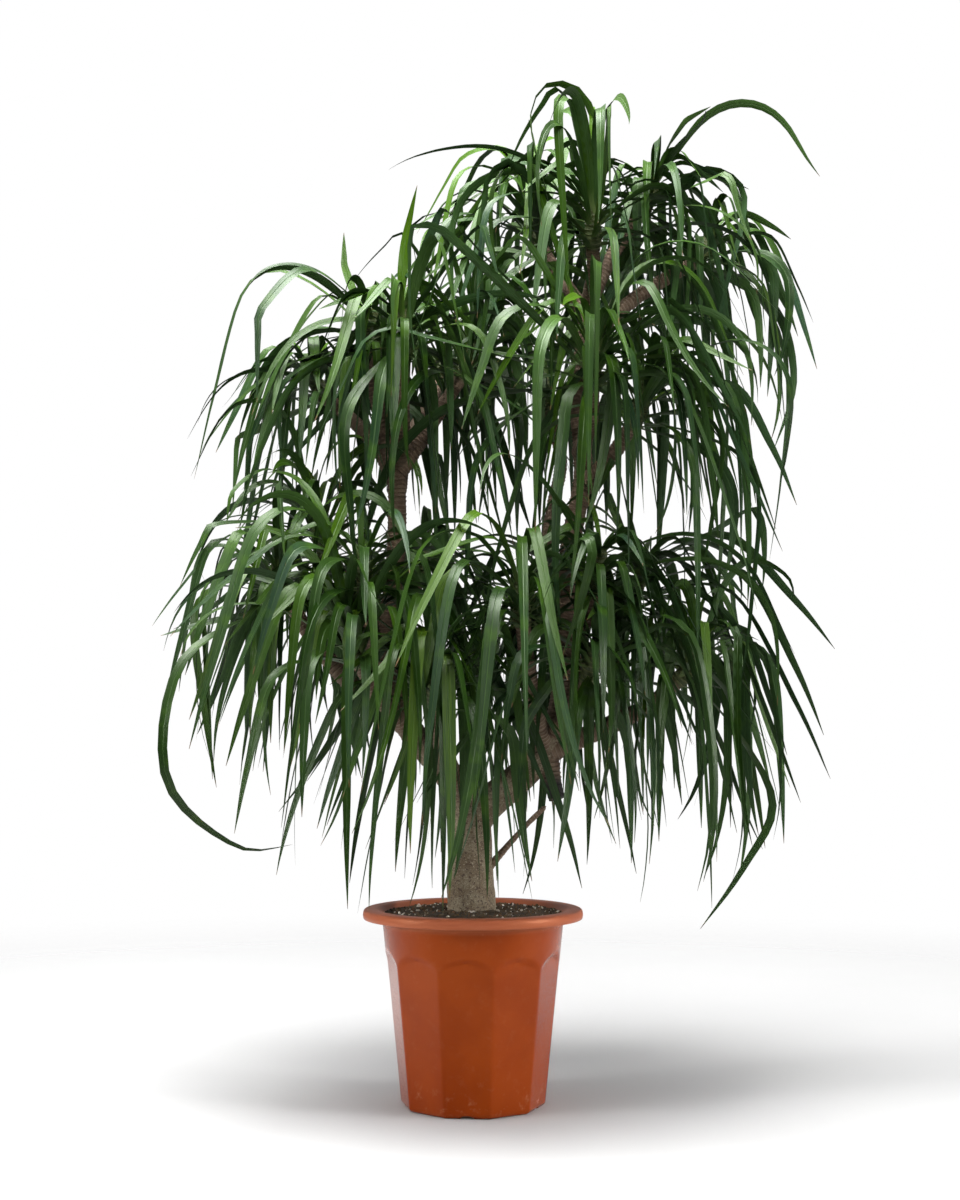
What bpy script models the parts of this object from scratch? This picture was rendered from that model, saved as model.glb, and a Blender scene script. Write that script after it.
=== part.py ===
"""A branched dracaena in a plastic pot with ten flat faces.

Metres, +Z up. The origin is the centre of the pot's underside, on the floor, and -Y is the plant's front.
"""

import math
import random
from collections import namedtuple

import bmesh
import bpy
from mathutils import Matrix, Vector
from mathutils.bvhtree import BVHTree

# Pot
POT_HEIGHT = 0.300
LIP_RADIUS = 0.170
LIP_DEPTH = 0.016
MOUTH_RADIUS = 0.1435
BAND_RADIUS = 0.1415
FACES_TOP_RADIUS = 0.136
FOOT_RADIUS = 0.111
FOOT_ROUNDING = 0.004
FACE_COUNT = 10
FACE_TURN = math.radians(-94.5)
FACES_TOP = 0.236
FACES_FADE = 0.032
WALL = 0.0025
BASE_THICKNESS = 0.008
AROUND = 40
CHANNEL_COUNT = 5
CHANNEL_WIDTH = 0.022
CHANNEL_HEIGHT = 0.005
CHANNEL_INNER = 0.052
DRAIN_RADIUS = 0.005

# Soil
SOIL_GAP = 0.0004
SOIL_EDGE = 0.288
SOIL_HEAP = 0.004

# Wood
CLEAR = 0.0003
TRUNK_SIDES = 12
LIMB_SIDES = 7

# Leaves
CORE_LENGTH = 0.082
CORE_ROWS = 5
CORE_SIDES = 6
CORE_RADII = (0.0112, 0.0128, 0.0125, 0.0118, 0.0105, 0.0070)
SPREAD_STEP = 7
LEAF_WIDTH = 0.0235
ROOT_WIDTH = 0.50
KEEL = 0.0018
TIP_KEEL = 0.0007
LINE_STEPS = 24
MARGIN = 0.0006
ROOT_SHRINK = 0.08
TRIES = 160

Limb = namedtuple("Limb", "name radii points")
Crown = namedtuple("Crown", "name limb leaves reach droop lift seed")
Leaf = namedtuple("Leaf", "azimuth rise fall length width bend_from bend_to sway twist")

# Each limb's radii and centre line, from inside what it grows from to its own end
TRUNK = Limb("trunk", (0.0300, 0.0375, 0.0345, 0.0315, 0.0200), [
    (-0.002, 0, 0.16), (-0.002, 0, 0.288), (-0.005, 0, 0.372), (-0.005, 0, 0.449), (-0.003, 0, 0.512),
])
LIMBS = [
    Limb("left", (0.0220, 0.0215, 0.0200, 0.0180, 0.0160, 0.0145, 0.0135), [
        (-0.002, 0, 0.455), (-0.051, 0, 0.519), (-0.099, 0.01, 0.576), (-0.127, 0.02, 0.651),
        (-0.131, 0.03, 0.746), (-0.121, 0.03, 0.873), (-0.122, 0.02, 1.003)]),
    Limb("right", (
        0.0260, 0.0245, 0.0220, 0.0190, 0.0175, 0.0165,
        0.0155, 0.0145, 0.0130, 0.0120, 0.0115), [
        (-0.004, 0, 0.44), (0.057, -0.01, 0.488), (0.111, -0.01, 0.542), (0.139, 0, 0.62),
        (0.139, 0.01, 0.714), (0.146, 0.02, 0.809), (0.158, 0.02, 0.888), (0.174, 0.02, 0.983),
        (0.167, 0.03, 1.097), (0.178, 0.03, 1.21), (0.188, 0.025, 1.275)]),
    Limb("left_tip_a", (0.0110, 0.0112, 0.0108, 0.0105), [
        (-0.122, 0.02, 0.99), (-0.141, 0.01, 1.046), (-0.155, 0, 1.108), (-0.157, -0.004, 1.155)]),
    Limb("left_tip_b", (0.0110, 0.0115, 0.0112, 0.0108), [
        (-0.122, 0.02, 0.99), (-0.111, -0.02, 1.035), (-0.11, -0.066, 1.088), (-0.108, -0.094, 1.135)]),
    Limb("left_tip_c", (0.0115, 0.0120, 0.0112, 0.0108), [
        (-0.12, 0.02, 0.98), (-0.086, 0.03, 1.028), (-0.05, 0.037, 1.086), (-0.028, 0.043, 1.122)]),
    Limb("left_tip_d", (0.0110, 0.0115, 0.0110, 0.0105), [
        (-0.122, 0.024, 0.965), (-0.158, 0.04, 1.03), (-0.202, 0.058, 1.076), (-0.226, 0.066, 1.098)]),
    Limb("left_back", (0.0115, 0.0120, 0.0112, 0.0108), [
        (-0.122, 0.025, 0.95), (-0.103, 0.1, 1.044), (-0.073, 0.207, 1.123), (-0.063, 0.255, 1.165)]),
    Limb("low_left_a", (0.0125, 0.0122, 0.0110), [
        (-0.125, 0.02, 0.64), (-0.15, -0.052, 0.708), (-0.158, -0.086, 0.76)]),
    Limb("low_left_b", (0.0150, 0.0135, 0.0122, 0.0110), [
        (-0.095, 0.01, 0.575), (-0.185, 0, 0.64), (-0.245, 0, 0.708), (-0.278, 0, 0.758)]),
    Limb("low_left_c", (0.0125, 0.0122, 0.0110), [
        (-0.13, 0.03, 0.7), (-0.11, 0.096, 0.763), (-0.096, 0.13, 0.804)]),
    Limb("low_left_d", (0.0120, 0.0120, 0.0108), [
        (-0.131, 0.03, 0.725), (-0.185, 0.05, 0.785), (-0.222, 0.055, 0.835)]),
    Limb("low_left_e", (0.0125, 0.0122, 0.0108), [
        (-0.08, 0.006, 0.555), (-0.138, -0.07, 0.618), (-0.165, -0.112, 0.665)]),
    Limb("low_back_left", (0.0130, 0.0125, 0.0110), [
        (-0.115, 0.015, 0.61), (-0.159, 0.142, 0.693), (-0.192, 0.242, 0.753)]),
    Limb("top_a", (0.0105, 0.0108, 0.0105), [
        (0.186, 0.027, 1.255), (0.19, -0.008, 1.286), (0.188, -0.034, 1.318)]),
    Limb("top_b", (0.0105, 0.0110, 0.0105), [
        (0.184, 0.027, 1.255), (0.228, 0.048, 1.342), (0.264, 0.056, 1.396)]),
    Limb("top_c", (0.0105, 0.0110, 0.0105), [
        (0.181, 0.03, 1.235), (0.14, 0.082, 1.312), (0.118, 0.104, 1.352)]),
    Limb("top_d", (0.0110, 0.0115, 0.0105), [
        (0.177, 0.03, 1.195), (0.268, 0.088, 1.278), (0.348, 0.118, 1.333)]),
    Limb("back_right", (0.0115, 0.0115, 0.0105), [
        (0.169, 0.03, 1.12), (0.208, 0.162, 1.221), (0.235, 0.243, 1.276)]),
    Limb("middle_a", (0.0120, 0.0125, 0.0108), [
        (0.172, 0.02, 0.955), (0.213, -0.025, 0.995), (0.239, -0.057, 1.033)]),
    Limb("middle_b", (0.0110, 0.0112, 0.0105), [
        (0.171, 0.022, 1.01), (0.18, -0.069, 1.048), (0.18, -0.121, 1.081)]),
    Limb("middle_c", (0.0105, 0.0100, 0.0100, 0.0105), [
        (0.137, 0.008, 0.7), (0.119, 0.05, 0.867), (0.142, 0.096, 1.005), (0.129, 0.12, 1.078)]),
    Limb("low_right_a", (0.0125, 0.0122, 0.0108), [
        (0.139, 0, 0.66), (0.168, -0.079, 0.736), (0.179, -0.117, 0.775)]),
    Limb("low_right_b", (0.0130, 0.0125, 0.0108), [
        (0.138, 0, 0.63), (0.2, 0.018, 0.712), (0.236, 0.02, 0.762)]),
    Limb("low_right_c", (0.0160, 0.0140, 0.0125, 0.0110), [
        (0.105, -0.008, 0.535), (0.205, -0.02, 0.578), (0.272, -0.035, 0.612), (0.304, -0.04, 0.64)]),
    Limb("low_right_d", (0.0125, 0.0122, 0.0108), [
        (0.118, -0.004, 0.565), (0.15, -0.078, 0.602), (0.166, -0.118, 0.64)]),
    Limb("low_middle_b", (0.0135, 0.0125, 0.0110), [
        (0.109, -0.008, 0.54), (0.086, -0.101, 0.642), (0.076, -0.142, 0.718)]),
    Limb("low_middle_a", (0.0130, 0.0122, 0.0110), [
        (-0.018, 0, 0.48), (-0.048, -0.087, 0.553), (-0.054, -0.123, 0.6)]),
    Limb("low_back_right", (0.0130, 0.0125, 0.0110), [
        (0.137, 0, 0.6), (0.14, 0.142, 0.677), (0.131, 0.24, 0.724)]),
    # A sawn-off side limb, a bud on the trunk and a thin shoot
    Limb("stub", (0.0150, 0.0125), [
        (0.112, -0.008, 0.535), (0.129, -0.025, 0.468)]),
    Limb("bud", (0.0100, 0.0070), [
        (-0.012, -0.005, 0.475), (-0.038, -0.032, 0.503)]),
    Limb("shoot", (0.0050, 0.0045, 0.0035), [
        (0.015, 0, 0.35), (0.074, -0.01, 0.418), (0.108, -0.018, 0.452)]),
]

# The crowns of leaves: the limb that each ends, its leaf count, its longest leaf, the share of a
# leaf's length by which it has come to hang, the rise of its oldest leaf in degrees, and its seed
# The first five stand where leaves are closest, so they grow before the others
CROWNS = [
    Crown("crown_low_middle_a", "low_middle_a", 24, 0.42, 0.34, 13, 171),
    Crown("crown_low_right_c", "low_right_c", 22, 0.37, 0.34, 5, 284),
    Crown("crown_low_middle_b", "low_middle_b", 24, 0.54, 0.39, 2, 22),
    Crown("crown_middle_b", "middle_b", 24, 0.49, 0.46, -6, 125),
    Crown("crown_low_left_e", "low_left_e", 21, 0.40, 0.50, 12, 11),
    Crown("crown_top_a", "top_a", 23, 0.39, 0.54, -16, 326),
    Crown("crown_top_b", "top_b", 23, 0.30, 0.34, -22, 240),
    Crown("crown_top_c", "top_c", 23, 0.52, 0.44, 8, 367),
    Crown("crown_top_d", "top_d", 19, 0.34, 0.51, -12, 96),
    Crown("crown_left_a", "left_tip_a", 22, 0.35, 0.34, -22, 149),
    Crown("crown_left_b", "left_tip_b", 22, 0.30, 0.34, 11, 390),
    Crown("crown_left_c", "left_tip_c", 18, 0.30, 0.66, 14, 11),
    Crown("crown_left_d", "left_tip_d", 21, 0.30, 0.34, 5, 11),
    Crown("crown_left_back", "left_back", 16, 0.39, 0.56, -22, 11),
    Crown("crown_back_right", "back_right", 16, 0.39, 0.38, 14, 11),
    Crown("crown_middle_a", "middle_a", 23, 0.40, 0.56, 14, 11),
    Crown("crown_middle_c", "middle_c", 15, 0.32, 0.47, 12, 11),
    Crown("crown_low_left_a", "low_left_a", 23, 0.40, 0.52, -15, 85),
    Crown("crown_low_left_b", "low_left_b", 22, 0.37, 0.34, -5, 235),
    Crown("crown_low_left_c", "low_left_c", 15, 0.30, 0.34, -22, 11),
    Crown("crown_low_left_d", "low_left_d", 18, 0.30, 0.74, 0, 11),
    Crown("crown_low_back_left", "low_back_left", 16, 0.42, 0.59, 6, 11),
    Crown("crown_low_right_a", "low_right_a", 22, 0.33, 0.34, -22, 377),
    Crown("crown_low_right_b", "low_right_b", 22, 0.45, 0.47, -19, 244),
    Crown("crown_low_right_d", "low_right_d", 19, 0.33, 0.66, -19, 11),
    Crown("crown_low_back_right", "low_back_right", 16, 0.48, 0.34, -9, 11),
]

# Leaves that draw the plant's outline, for each crown: azimuth, rise, fall, length, where it bends
# Azimuth 0 points right, 90 back, 180 left and 270 to the front; rise and fall are degrees above level
# at the root and the tip, and past -90 the leaf curls under
OUTLINE_LEAVES = {
    "crown_top_a": [
        (161, 106, -47, 0.34, 0.11, 0.90),
        (350, 95, -104, 0.33, 0.45, 0.76),
        (248, 61, -103, 0.52, 0.19, 0.58),
        (342, 39, -96, 0.42, 0.10, 0.44),
        (212, 45, -31, 0.29, 0.16, 0.61),
        (188, 67, -55, 0.41, 0.03, 0.35),
    ],
    "crown_top_b": [
        (24, 44, -69, 0.26, 0.02, 0.83),
        (32, 68, 31, 0.19, 0.17, 0.90),
        (357, 36, -104, 0.43, 0.07, 0.51),
        (272, 74, -72, 0.18, 0.10, 0.87),
        (88, 32, -58, 0.52, 0.04, 0.72),
        (238, 31, -65, 0.18, 0.00, 0.25),
    ],
    "crown_top_c": [
        (144, 74, -51, 0.38, 0.16, 0.70),
        (191, 29, -12, 0.18, 0.02, 0.80),
        (136, 16, -76, 0.36, 0.08, 1.00),
        (210, 28, -108, 0.43, 0.01, 0.85),
        (240, 102, 53, 0.17, 0.45, 1.00),
        (192, 45, -99, 0.45, 0.13, 0.39),
    ],
    "crown_top_d": [
        (14, 26, -95, 0.36, 0.08, 0.52),
        (317, 29, -72, 0.43, 0.11, 0.39),
        (31, 2, -117, 0.45, 0.00, 0.94),
    ],
    "crown_left_a": [
        (163, 44, -76, 0.57, 0.14, 0.55),
        (95, 20, -18, 0.16, 0.00, 0.52),
        (149, 57, 90, 0.16, 0.04, 0.94),
        (185, 5, -95, 0.29, 0.01, 0.75),
        (137, 21, -59, 0.33, 0.24, 0.57),
        (170, -13, -83, 0.52, 0.08, 0.50),
        (231, 44, -91, 0.43, 0.00, 0.86),
    ],
    "crown_left_b": [
        (261, 43, -171, 0.42, 0.09, 0.35),
        (232, -17, -100, 0.42, 0.00, 0.61),
        (289, 49, -62, 0.44, 0.19, 0.59),
        (5, -33, -7, 0.16, 0.00, 0.42),
        (148, 82, 112, 0.19, 0.02, 0.85),
    ],
    "crown_middle_a": [
        (316, 3, -90, 0.33, 0.03, 0.40),
        (341, 19, -101, 0.36, 0.00, 0.54),
        (3, 42, -83, 0.33, 0.04, 0.66),
        (350, -3, -98, 0.54, 0.04, 0.56),
    ],
    "crown_middle_b": [
        (164, 19, -106, 0.51, 0.24, 0.50),
        (313, 51, -80, 0.36, 0.00, 0.27),
        (352, 10, -94, 0.38, 0.17, 0.51),
        (163, 33, -33, 0.34, 0.07, 0.72),
    ],
    "crown_low_left_a": [
        (238, 92, -54, 0.28, 0.21, 0.46),
        (298, 117, 112, 0.22, 0.50, 0.86),
        (23, 4, -6, 0.36, 0.25, 0.79),
        (230, 54, -73, 0.56, 0.00, 0.53),
        (230, 12, -86, 0.52, 0.04, 0.29),
    ],
    "crown_low_left_b": [
        (226, -8, -184, 0.71, 0.00, 1.00),
        (201, -10, -17, 0.20, 0.27, 0.84),
        (171, 44, -83, 0.37, 0.16, 0.50),
        (199, 27, -99, 0.43, 0.00, 0.48),
        (159, 10, -87, 0.33, 0.00, 0.58),
    ],
    "crown_low_right_a": [
        (238, 1, -116, 0.53, 0.00, 0.55),
        (271, 52, -145, 0.40, 0.28, 0.53),
        (236, 24, -69, 0.38, 0.07, 0.70),
    ],
    "crown_low_right_b": [
        (314, 2, -90, 0.62, 0.00, 0.39),
        (250, 27, -82, 0.51, 0.07, 0.54),
        (301, 44, -25, 0.26, 0.11, 0.42),
    ],
    "crown_low_right_c": [
        (353, -29, -125, 0.46, 0.03, 0.76),
        (340, 71, -83, 0.27, 0.27, 0.98),
        (233, 34, -96, 0.47, 0.00, 0.39),
        (34, 35, -88, 0.47, 0.00, 0.56),
        (311, 17, -114, 0.61, 0.08, 0.33),
    ],
    "crown_low_middle_a": [
        (177, 33, -102, 0.55, 0.00, 0.69),
        (218, 54, -91, 0.53, 0.01, 0.42),
        (195, 10, -102, 0.44, 0.04, 0.44),
        (283, 42, -55, 0.41, 0.02, 0.52),
        (353, 33, -126, 0.27, 0.06, 0.44),
    ],
    "crown_low_middle_b": [
        (179, 52, -115, 0.43, 0.00, 0.71),
        (293, 30, -128, 0.42, 0.41, 0.66),
        (16, 63, -94, 0.52, 0.08, 0.33),
    ],
}


def clear_scene():
    for obj in list(bpy.data.objects):
        bpy.data.objects.remove(obj, do_unlink=True)


def material(name, colour, roughness):
    """A plain Principled finish."""
    made = bpy.data.materials.new(name)
    made.use_nodes = True
    shader = made.node_tree.nodes["Principled BSDF"]
    shader.inputs["Base Color"].default_value = (*colour, 1)
    shader.inputs["Roughness"].default_value = roughness
    shader.inputs["Metallic"].default_value = 0
    made.diffuse_color = (*colour, 1)
    return made


def mesh_object(name, points, faces, finish=None):
    mesh = bpy.data.meshes.new(name)
    mesh.from_pydata([tuple(p) for p in points], [], faces)
    if finish:
        mesh.materials.append(finish)
    obj = bpy.data.objects.new(name, mesh)
    bpy.context.scene.collection.objects.link(obj)
    return obj


def apply_modifiers(obj):
    """The object keeps the mesh that its modifiers make."""
    graph = bpy.context.evaluated_depsgraph_get()
    made = bpy.data.meshes.new_from_object(obj.evaluated_get(graph))
    obj.modifiers.clear()
    obj.data = made


def join_all(obj, others, solver):
    """A Boolean union of obj with all the others, which are then removed."""
    group = bpy.data.collections.new(obj.name + "_pieces")
    bpy.context.scene.collection.children.link(group)
    for other in others:
        bpy.context.scene.collection.objects.unlink(other)
        group.objects.link(other)
    union = obj.modifiers.new("join", "BOOLEAN")
    union.operation = "UNION"
    union.solver = solver
    union.operand_type = "COLLECTION"
    union.collection = group
    apply_modifiers(obj)
    for other in others:
        bpy.data.objects.remove(other, do_unlink=True)
    bpy.data.collections.remove(group)


def cut(obj, cutter):
    difference = obj.modifiers.new("cut", "BOOLEAN")
    difference.operation = "DIFFERENCE"
    difference.solver = "EXACT"
    difference.object = cutter
    apply_modifiers(obj)
    bpy.data.objects.remove(cutter, do_unlink=True)


def smoothstep(x):
    x = min(1.0, max(0.0, x))
    return x * x * (3 - 2 * x)


def tree_of(obj):
    obj.data.calc_loop_triangles()
    points = [v.co.copy() for v in obj.data.vertices]
    return BVHTree.FromPolygons(points, [tuple(t.vertices) for t in obj.data.loop_triangles])


# Pot


def round_radius(z):
    """The wall's radius if it had no flat faces: a steep cone below, a steeper one in the band."""
    if z < FACES_TOP:
        return FOOT_RADIUS + (FACES_TOP_RADIUS - FOOT_RADIUS) * z / FACES_TOP
    return FACES_TOP_RADIUS + (BAND_RADIUS - FACES_TOP_RADIUS) * (z - FACES_TOP) / (POT_HEIGHT - FACES_TOP)


def wall_radius(angle, z):
    """The wall is round in the band under the lip and has ten flat faces below it."""
    step = math.tau / FACE_COUNT
    from_middle = (angle - FACE_TURN + step / 2) % step - step / 2
    flat = math.cos(step / 2) / math.cos(from_middle)
    share = smoothstep((FACES_TOP - z) / FACES_FADE)
    return round_radius(z) * (1 + (flat - 1) * share)


def ring(z, inset=0.0, radius=None):
    """Points once round the pot's axis, on the wall less an inset, or at a radius of their own."""
    corner = FACE_TURN + math.pi / FACE_COUNT
    points = []
    for i in range(AROUND):
        angle = corner + math.tau * i / AROUND
        r = wall_radius(angle, z) - inset if radius is None else radius
        points.append(Vector((r * math.cos(angle), r * math.sin(angle), z)))
    return points


def loft(name, rings, finish, split=True):
    """A closed solid through rings in order, each quad split along its shorter diagonal if asked."""
    count = len(rings[0])
    points = [p for one in rings for p in one]
    faces = [list(range(count))[::-1]]
    for k in range(len(rings) - 1):
        for i in range(count):
            j = (i + 1) % count
            a, b, c, d = k * count + i, k * count + j, (k + 1) * count + j, (k + 1) * count + i
            if not split:
                faces.append((a, b, c, d))
            elif (points[a] - points[c]).length < (points[b] - points[d]).length:
                faces += [(a, b, c), (a, c, d)]
            else:
                faces += [(a, b, d), (b, c, d)]
    faces.append([(len(rings) - 1) * count + i for i in range(count)])
    return mesh_object(name, points, faces, finish)


def box_between(name, low, high, turn):
    """A box, turned about the pot's axis."""
    mesh = bpy.data.meshes.new(name)
    shape = bmesh.new()
    size = [b - a for a, b in zip(low, high)]
    centre = [(a + b) / 2 for a, b in zip(low, high)]
    place = Matrix.Rotation(turn, 4, "Z") @ Matrix.Translation(centre) @ Matrix.Diagonal((*size, 1))
    bmesh.ops.create_cube(shape, size=1, matrix=place)
    shape.to_mesh(mesh)
    shape.free()
    obj = bpy.data.objects.new(name, mesh)
    bpy.context.scene.collection.objects.link(obj)
    return obj


def drain_hole(turn):
    """A round cutter through the base, at the inner end of a channel."""
    mesh = bpy.data.meshes.new("drain")
    shape = bmesh.new()
    reach = CHANNEL_INNER + CHANNEL_WIDTH / 2
    place = Matrix.Rotation(turn, 4, "Z") @ Matrix.Translation((reach, 0, BASE_THICKNESS / 2))
    bmesh.ops.create_cone(
        shape, cap_ends=True, segments=10, radius1=DRAIN_RADIUS, radius2=DRAIN_RADIUS,
        depth=2 * BASE_THICKNESS, matrix=place,
    )
    shape.to_mesh(mesh)
    shape.free()
    obj = bpy.data.objects.new("drain", mesh)
    bpy.context.scene.collection.objects.link(obj)
    return obj


def pot(finish):
    """A thin shell: flat faces, a round band, and a lip rolled outwards and open underneath."""
    under_lip = POT_HEIGHT - LIP_DEPTH
    rings = [
        ring(0, FOOT_ROUNDING),
        ring(FOOT_ROUNDING),
        ring(FACES_TOP - FACES_FADE),
        ring(FACES_TOP),
        ring(POT_HEIGHT - 0.0065),
        ring(POT_HEIGHT - 0.0035, radius=LIP_RADIUS - 0.0100),
        ring(POT_HEIGHT - 0.0070, radius=LIP_RADIUS - 0.0036),
        ring(under_lip, radius=LIP_RADIUS - 0.0036),
        ring(under_lip, radius=LIP_RADIUS - 0.0010),
        ring(POT_HEIGHT - 0.0085, radius=LIP_RADIUS),
        ring(POT_HEIGHT - 0.0032, radius=LIP_RADIUS - 0.0030),
        ring(POT_HEIGHT, radius=LIP_RADIUS - 0.0105),
        ring(POT_HEIGHT - 0.0010, radius=MOUTH_RADIUS + 0.0040),
        ring(POT_HEIGHT - 0.0060, WALL),
        ring(FACES_TOP, WALL),
        ring(FACES_TOP - FACES_FADE, WALL),
        ring(BASE_THICKNESS, WALL),
    ]
    made = loft("pot", rings, finish)
    for i in range(CHANNEL_COUNT):
        turn = FACE_TURN + math.tau * i / CHANNEL_COUNT
        low = (CHANNEL_INNER, -CHANNEL_WIDTH / 2, -CHANNEL_HEIGHT)
        high = (FOOT_RADIUS + 0.02, CHANNEL_WIDTH / 2, CHANNEL_HEIGHT)
        cut(made, box_between("channel", low, high, turn))
        cut(made, drain_hole(turn))
    return made


# Wood


def frames_along(points):
    """Each point's direction and two sideways axes, which turn as little as they can."""
    count = len(points)
    frames = []
    side = None
    for i in range(count):
        ahead = (points[min(i + 1, count - 1)] - points[max(i - 1, 0)]).normalized()
        if side is None:
            helper = Vector((1, 0, 0)) if abs(ahead.x) < 0.8 else Vector((0, 1, 0))
            side = helper
        side = (side - ahead * side.dot(ahead)).normalized()
        frames.append((ahead, side, ahead.cross(side)))
    return frames


def tube(name, points, radii, sides, finish=None):
    """A closed tube along a line, with flat ends square to it."""
    points = [Vector(p) for p in points]
    rings = []
    for (_, side, other), centre, radius in zip(frames_along(points), points, radii):
        turned = [math.tau * i / sides for i in range(sides)]
        rings.append([centre + radius * (math.cos(a) * side + math.sin(a) * other) for a in turned])
    return loft(name, rings, finish, split=False)


def wood(finish):
    """The trunk and its limbs, grown as one piece."""
    made = tube("trunk", TRUNK.points, TRUNK.radii, TRUNK_SIDES, finish)
    limbs = [tube(limb.name, limb.points, limb.radii, LIMB_SIDES, finish) for limb in LIMBS]
    join_all(made, limbs, "EXACT")
    return made


def soil(finish):
    """The soil fills the pot, is heaped a little, and has a plain hole for the trunk's foot."""
    inset = WALL + SOIL_GAP
    top = SOIL_EDGE + SOIL_HEAP
    rings = [
        ring(BASE_THICKNESS + CLEAR, inset),
        ring(FACES_TOP - FACES_FADE, inset),
        ring(FACES_TOP, inset),
        ring(SOIL_EDGE, inset),
        ring(top - 0.0010, radius=0.105),
        ring(top, radius=0.060),
    ]
    made = loft("soil", rings, finish)
    foot = [Vector(p) for p in TRUNK.points[:3]]
    foot[0].z -= CLEAR
    wider = [radius + CLEAR for radius in TRUNK.radii[:3]]
    cut(made, tube("hole", foot, wider, TRUNK_SIDES))
    return made


# Leaves


def core_line(limb):
    """The leafy end of a stem: it starts square to its limb's end and turns upwards."""
    last, before = Vector(limb.points[-1]), Vector(limb.points[-2])
    ahead = (last - before).normalized()
    step = CORE_LENGTH / CORE_ROWS
    line = [last + ahead * CLEAR]
    for _ in range(CORE_ROWS):
        line.append(line[-1] + ahead * step)
        ahead = (ahead + Vector((0, 0, 0.25))).normalized()
    return line


def core_mesh(limb):
    """Points and triangles of a core whose rows of points are staggered, and its leaf facets.

    A facet is a triangle with a level top edge and its third corner below; a leaf grows out of each.
    """
    line = core_line(limb)
    points = []
    for row, ((_, side, other), centre) in enumerate(zip(frames_along(line), line)):
        for i in range(CORE_SIDES):
            angle = math.tau * (i + row / 2) / CORE_SIDES
            points.append(centre + CORE_RADII[row] * (math.cos(angle) * side + math.sin(angle) * other))
    faces, facets = [], []
    for row in range(CORE_ROWS):
        below, above = row * CORE_SIDES, (row + 1) * CORE_SIDES
        for i in range(CORE_SIDES):
            j = (i + 1) % CORE_SIDES
            faces.append((below + i, below + j, above + i))
            facets.append((above + j, above + i, below + j))
    faces.append(tuple(range(CORE_SIDES))[::-1])
    faces.append(tuple(CORE_ROWS * CORE_SIDES + i for i in range(CORE_SIDES)))
    return points, faces, facets


def leaf_width(u):
    """Width along the leaf, as a share of its widest: narrow at the root, long and fine at the tip."""
    rising = ROOT_WIDTH + (1 - ROOT_WIDTH) * smoothstep(u / 0.34)
    return rising * (1 - u ** 3.6) ** 0.85


def leaf_line(leaf, root):
    """Centre points and frames of a leaf that leaves its root straight and bends over by its weight."""
    point = Vector(root)
    line = []
    for i in range(LINE_STEPS + 1):
        u = i / LINE_STEPS
        bent = smoothstep((u - leaf.bend_from) / (leaf.bend_to - leaf.bend_from))
        slope = math.radians(leaf.rise + (leaf.fall - leaf.rise) * bent)
        heading = math.radians(leaf.azimuth + leaf.sway * u * u)
        ahead = Vector((
            math.cos(slope) * math.cos(heading), math.cos(slope) * math.sin(heading), math.sin(slope)))
        level = Vector((-math.sin(heading), math.cos(heading), 0))
        side = Matrix.Rotation(math.radians(leaf.twist * smoothstep(u / 0.6)), 3, ahead) @ level
        line.append((point.copy(), side, ahead.cross(side)))
        point += ahead * (leaf.length / LINE_STEPS)
    return line


def stations(leaf):
    """Where along the leaf its cross-sections stand: close where it bends, and one where it narrows."""
    count = min(6, max(2, round((leaf.rise - leaf.fall) / 46)))
    spread = leaf.bend_to - leaf.bend_from
    places = [leaf.bend_from + spread * (k + 0.3) / count for k in range(count)]
    return places + [0.77] if places[-1] < 0.68 else places


def blade(leaf, line, margin=0.0):
    """Points of a blade with three sides, from its first station to its tip, a keel under its midrib."""
    points = []
    for u in stations(leaf):
        centre, side, up = line[min(LINE_STEPS - 1, max(2, round(u * LINE_STEPS)))]
        half = leaf.width * leaf_width(u) / 2 + margin
        depth = KEEL + (TIP_KEEL - KEEL) * u + margin
        lifted = centre + up * margin
        points += [lifted + side * half, lifted - side * half, centre - up * depth]
    points.append(line[-1][0])
    return points


def blade_faces(corners, first, count):
    """Triangles from three corners through points numbered from first to the tip."""
    rings = [corners] + [tuple(range(k, k + 3)) for k in range(first, first + count - 1, 3)]
    faces = []
    for low, high in zip(rings, rings[1:]):
        for i in range(3):
            j = (i + 1) % 3
            faces += [(low[i], low[j], high[j]), (low[i], high[j], high[i])]
    tip = first + count - 1
    return faces + [(rings[-1][i], rings[-1][(i + 1) % 3], tip) for i in range(3)]


Shape = namedtuple("Shape", "low high real thin fat outer")


def closed(points):
    """A search tree of a blade given as its points alone, three for each ring and one for the tip."""
    faces = [(0, 2, 1)] + blade_faces((0, 1, 2), 3, len(points) - 3)
    return BVHTree.FromPolygons(points, faces)


def shape_of(leaf, line, corners):
    """What the clearance tests read: the leaf as it is, short of its root, swollen, and without its root."""
    thin, fat = blade(leaf, line), blade(leaf, line, MARGIN)
    middle = sum(corners, Vector()) / 3
    near = [corner.lerp(middle, ROOT_SHRINK) for corner in corners]
    wide = [corner.lerp(middle, -ROOT_SHRINK) for corner in corners]
    points = wide + fat
    low = [min(p[k] for p in points) for k in range(3)]
    high = [max(p[k] for p in points) for k in range(3)]
    return Shape(low, high, closed(corners + thin), closed(near + thin), closed(points), closed(fat))


def apart(a, b):
    return any(a.low[k] > b.high[k] or b.low[k] > a.high[k] for k in range(3))


def clear_of_others(shape, others, solids):
    """No crossing with the wood, the pot, another crown's stem or another crown's leaf."""
    near = solids + [other.real for other in others if not apart(shape, other)]
    return not any(shape.fat.overlap(tree) or shape.real.overlap(tree) for tree in near)


def meets(faces, tree, other_faces, other_tree):
    """Whether two triangles meet that have no corner in common."""
    pairs = tree.overlap(other_tree)
    return any(not set(faces[i]) & set(other_faces[k]) for i, k in pairs)


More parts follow.
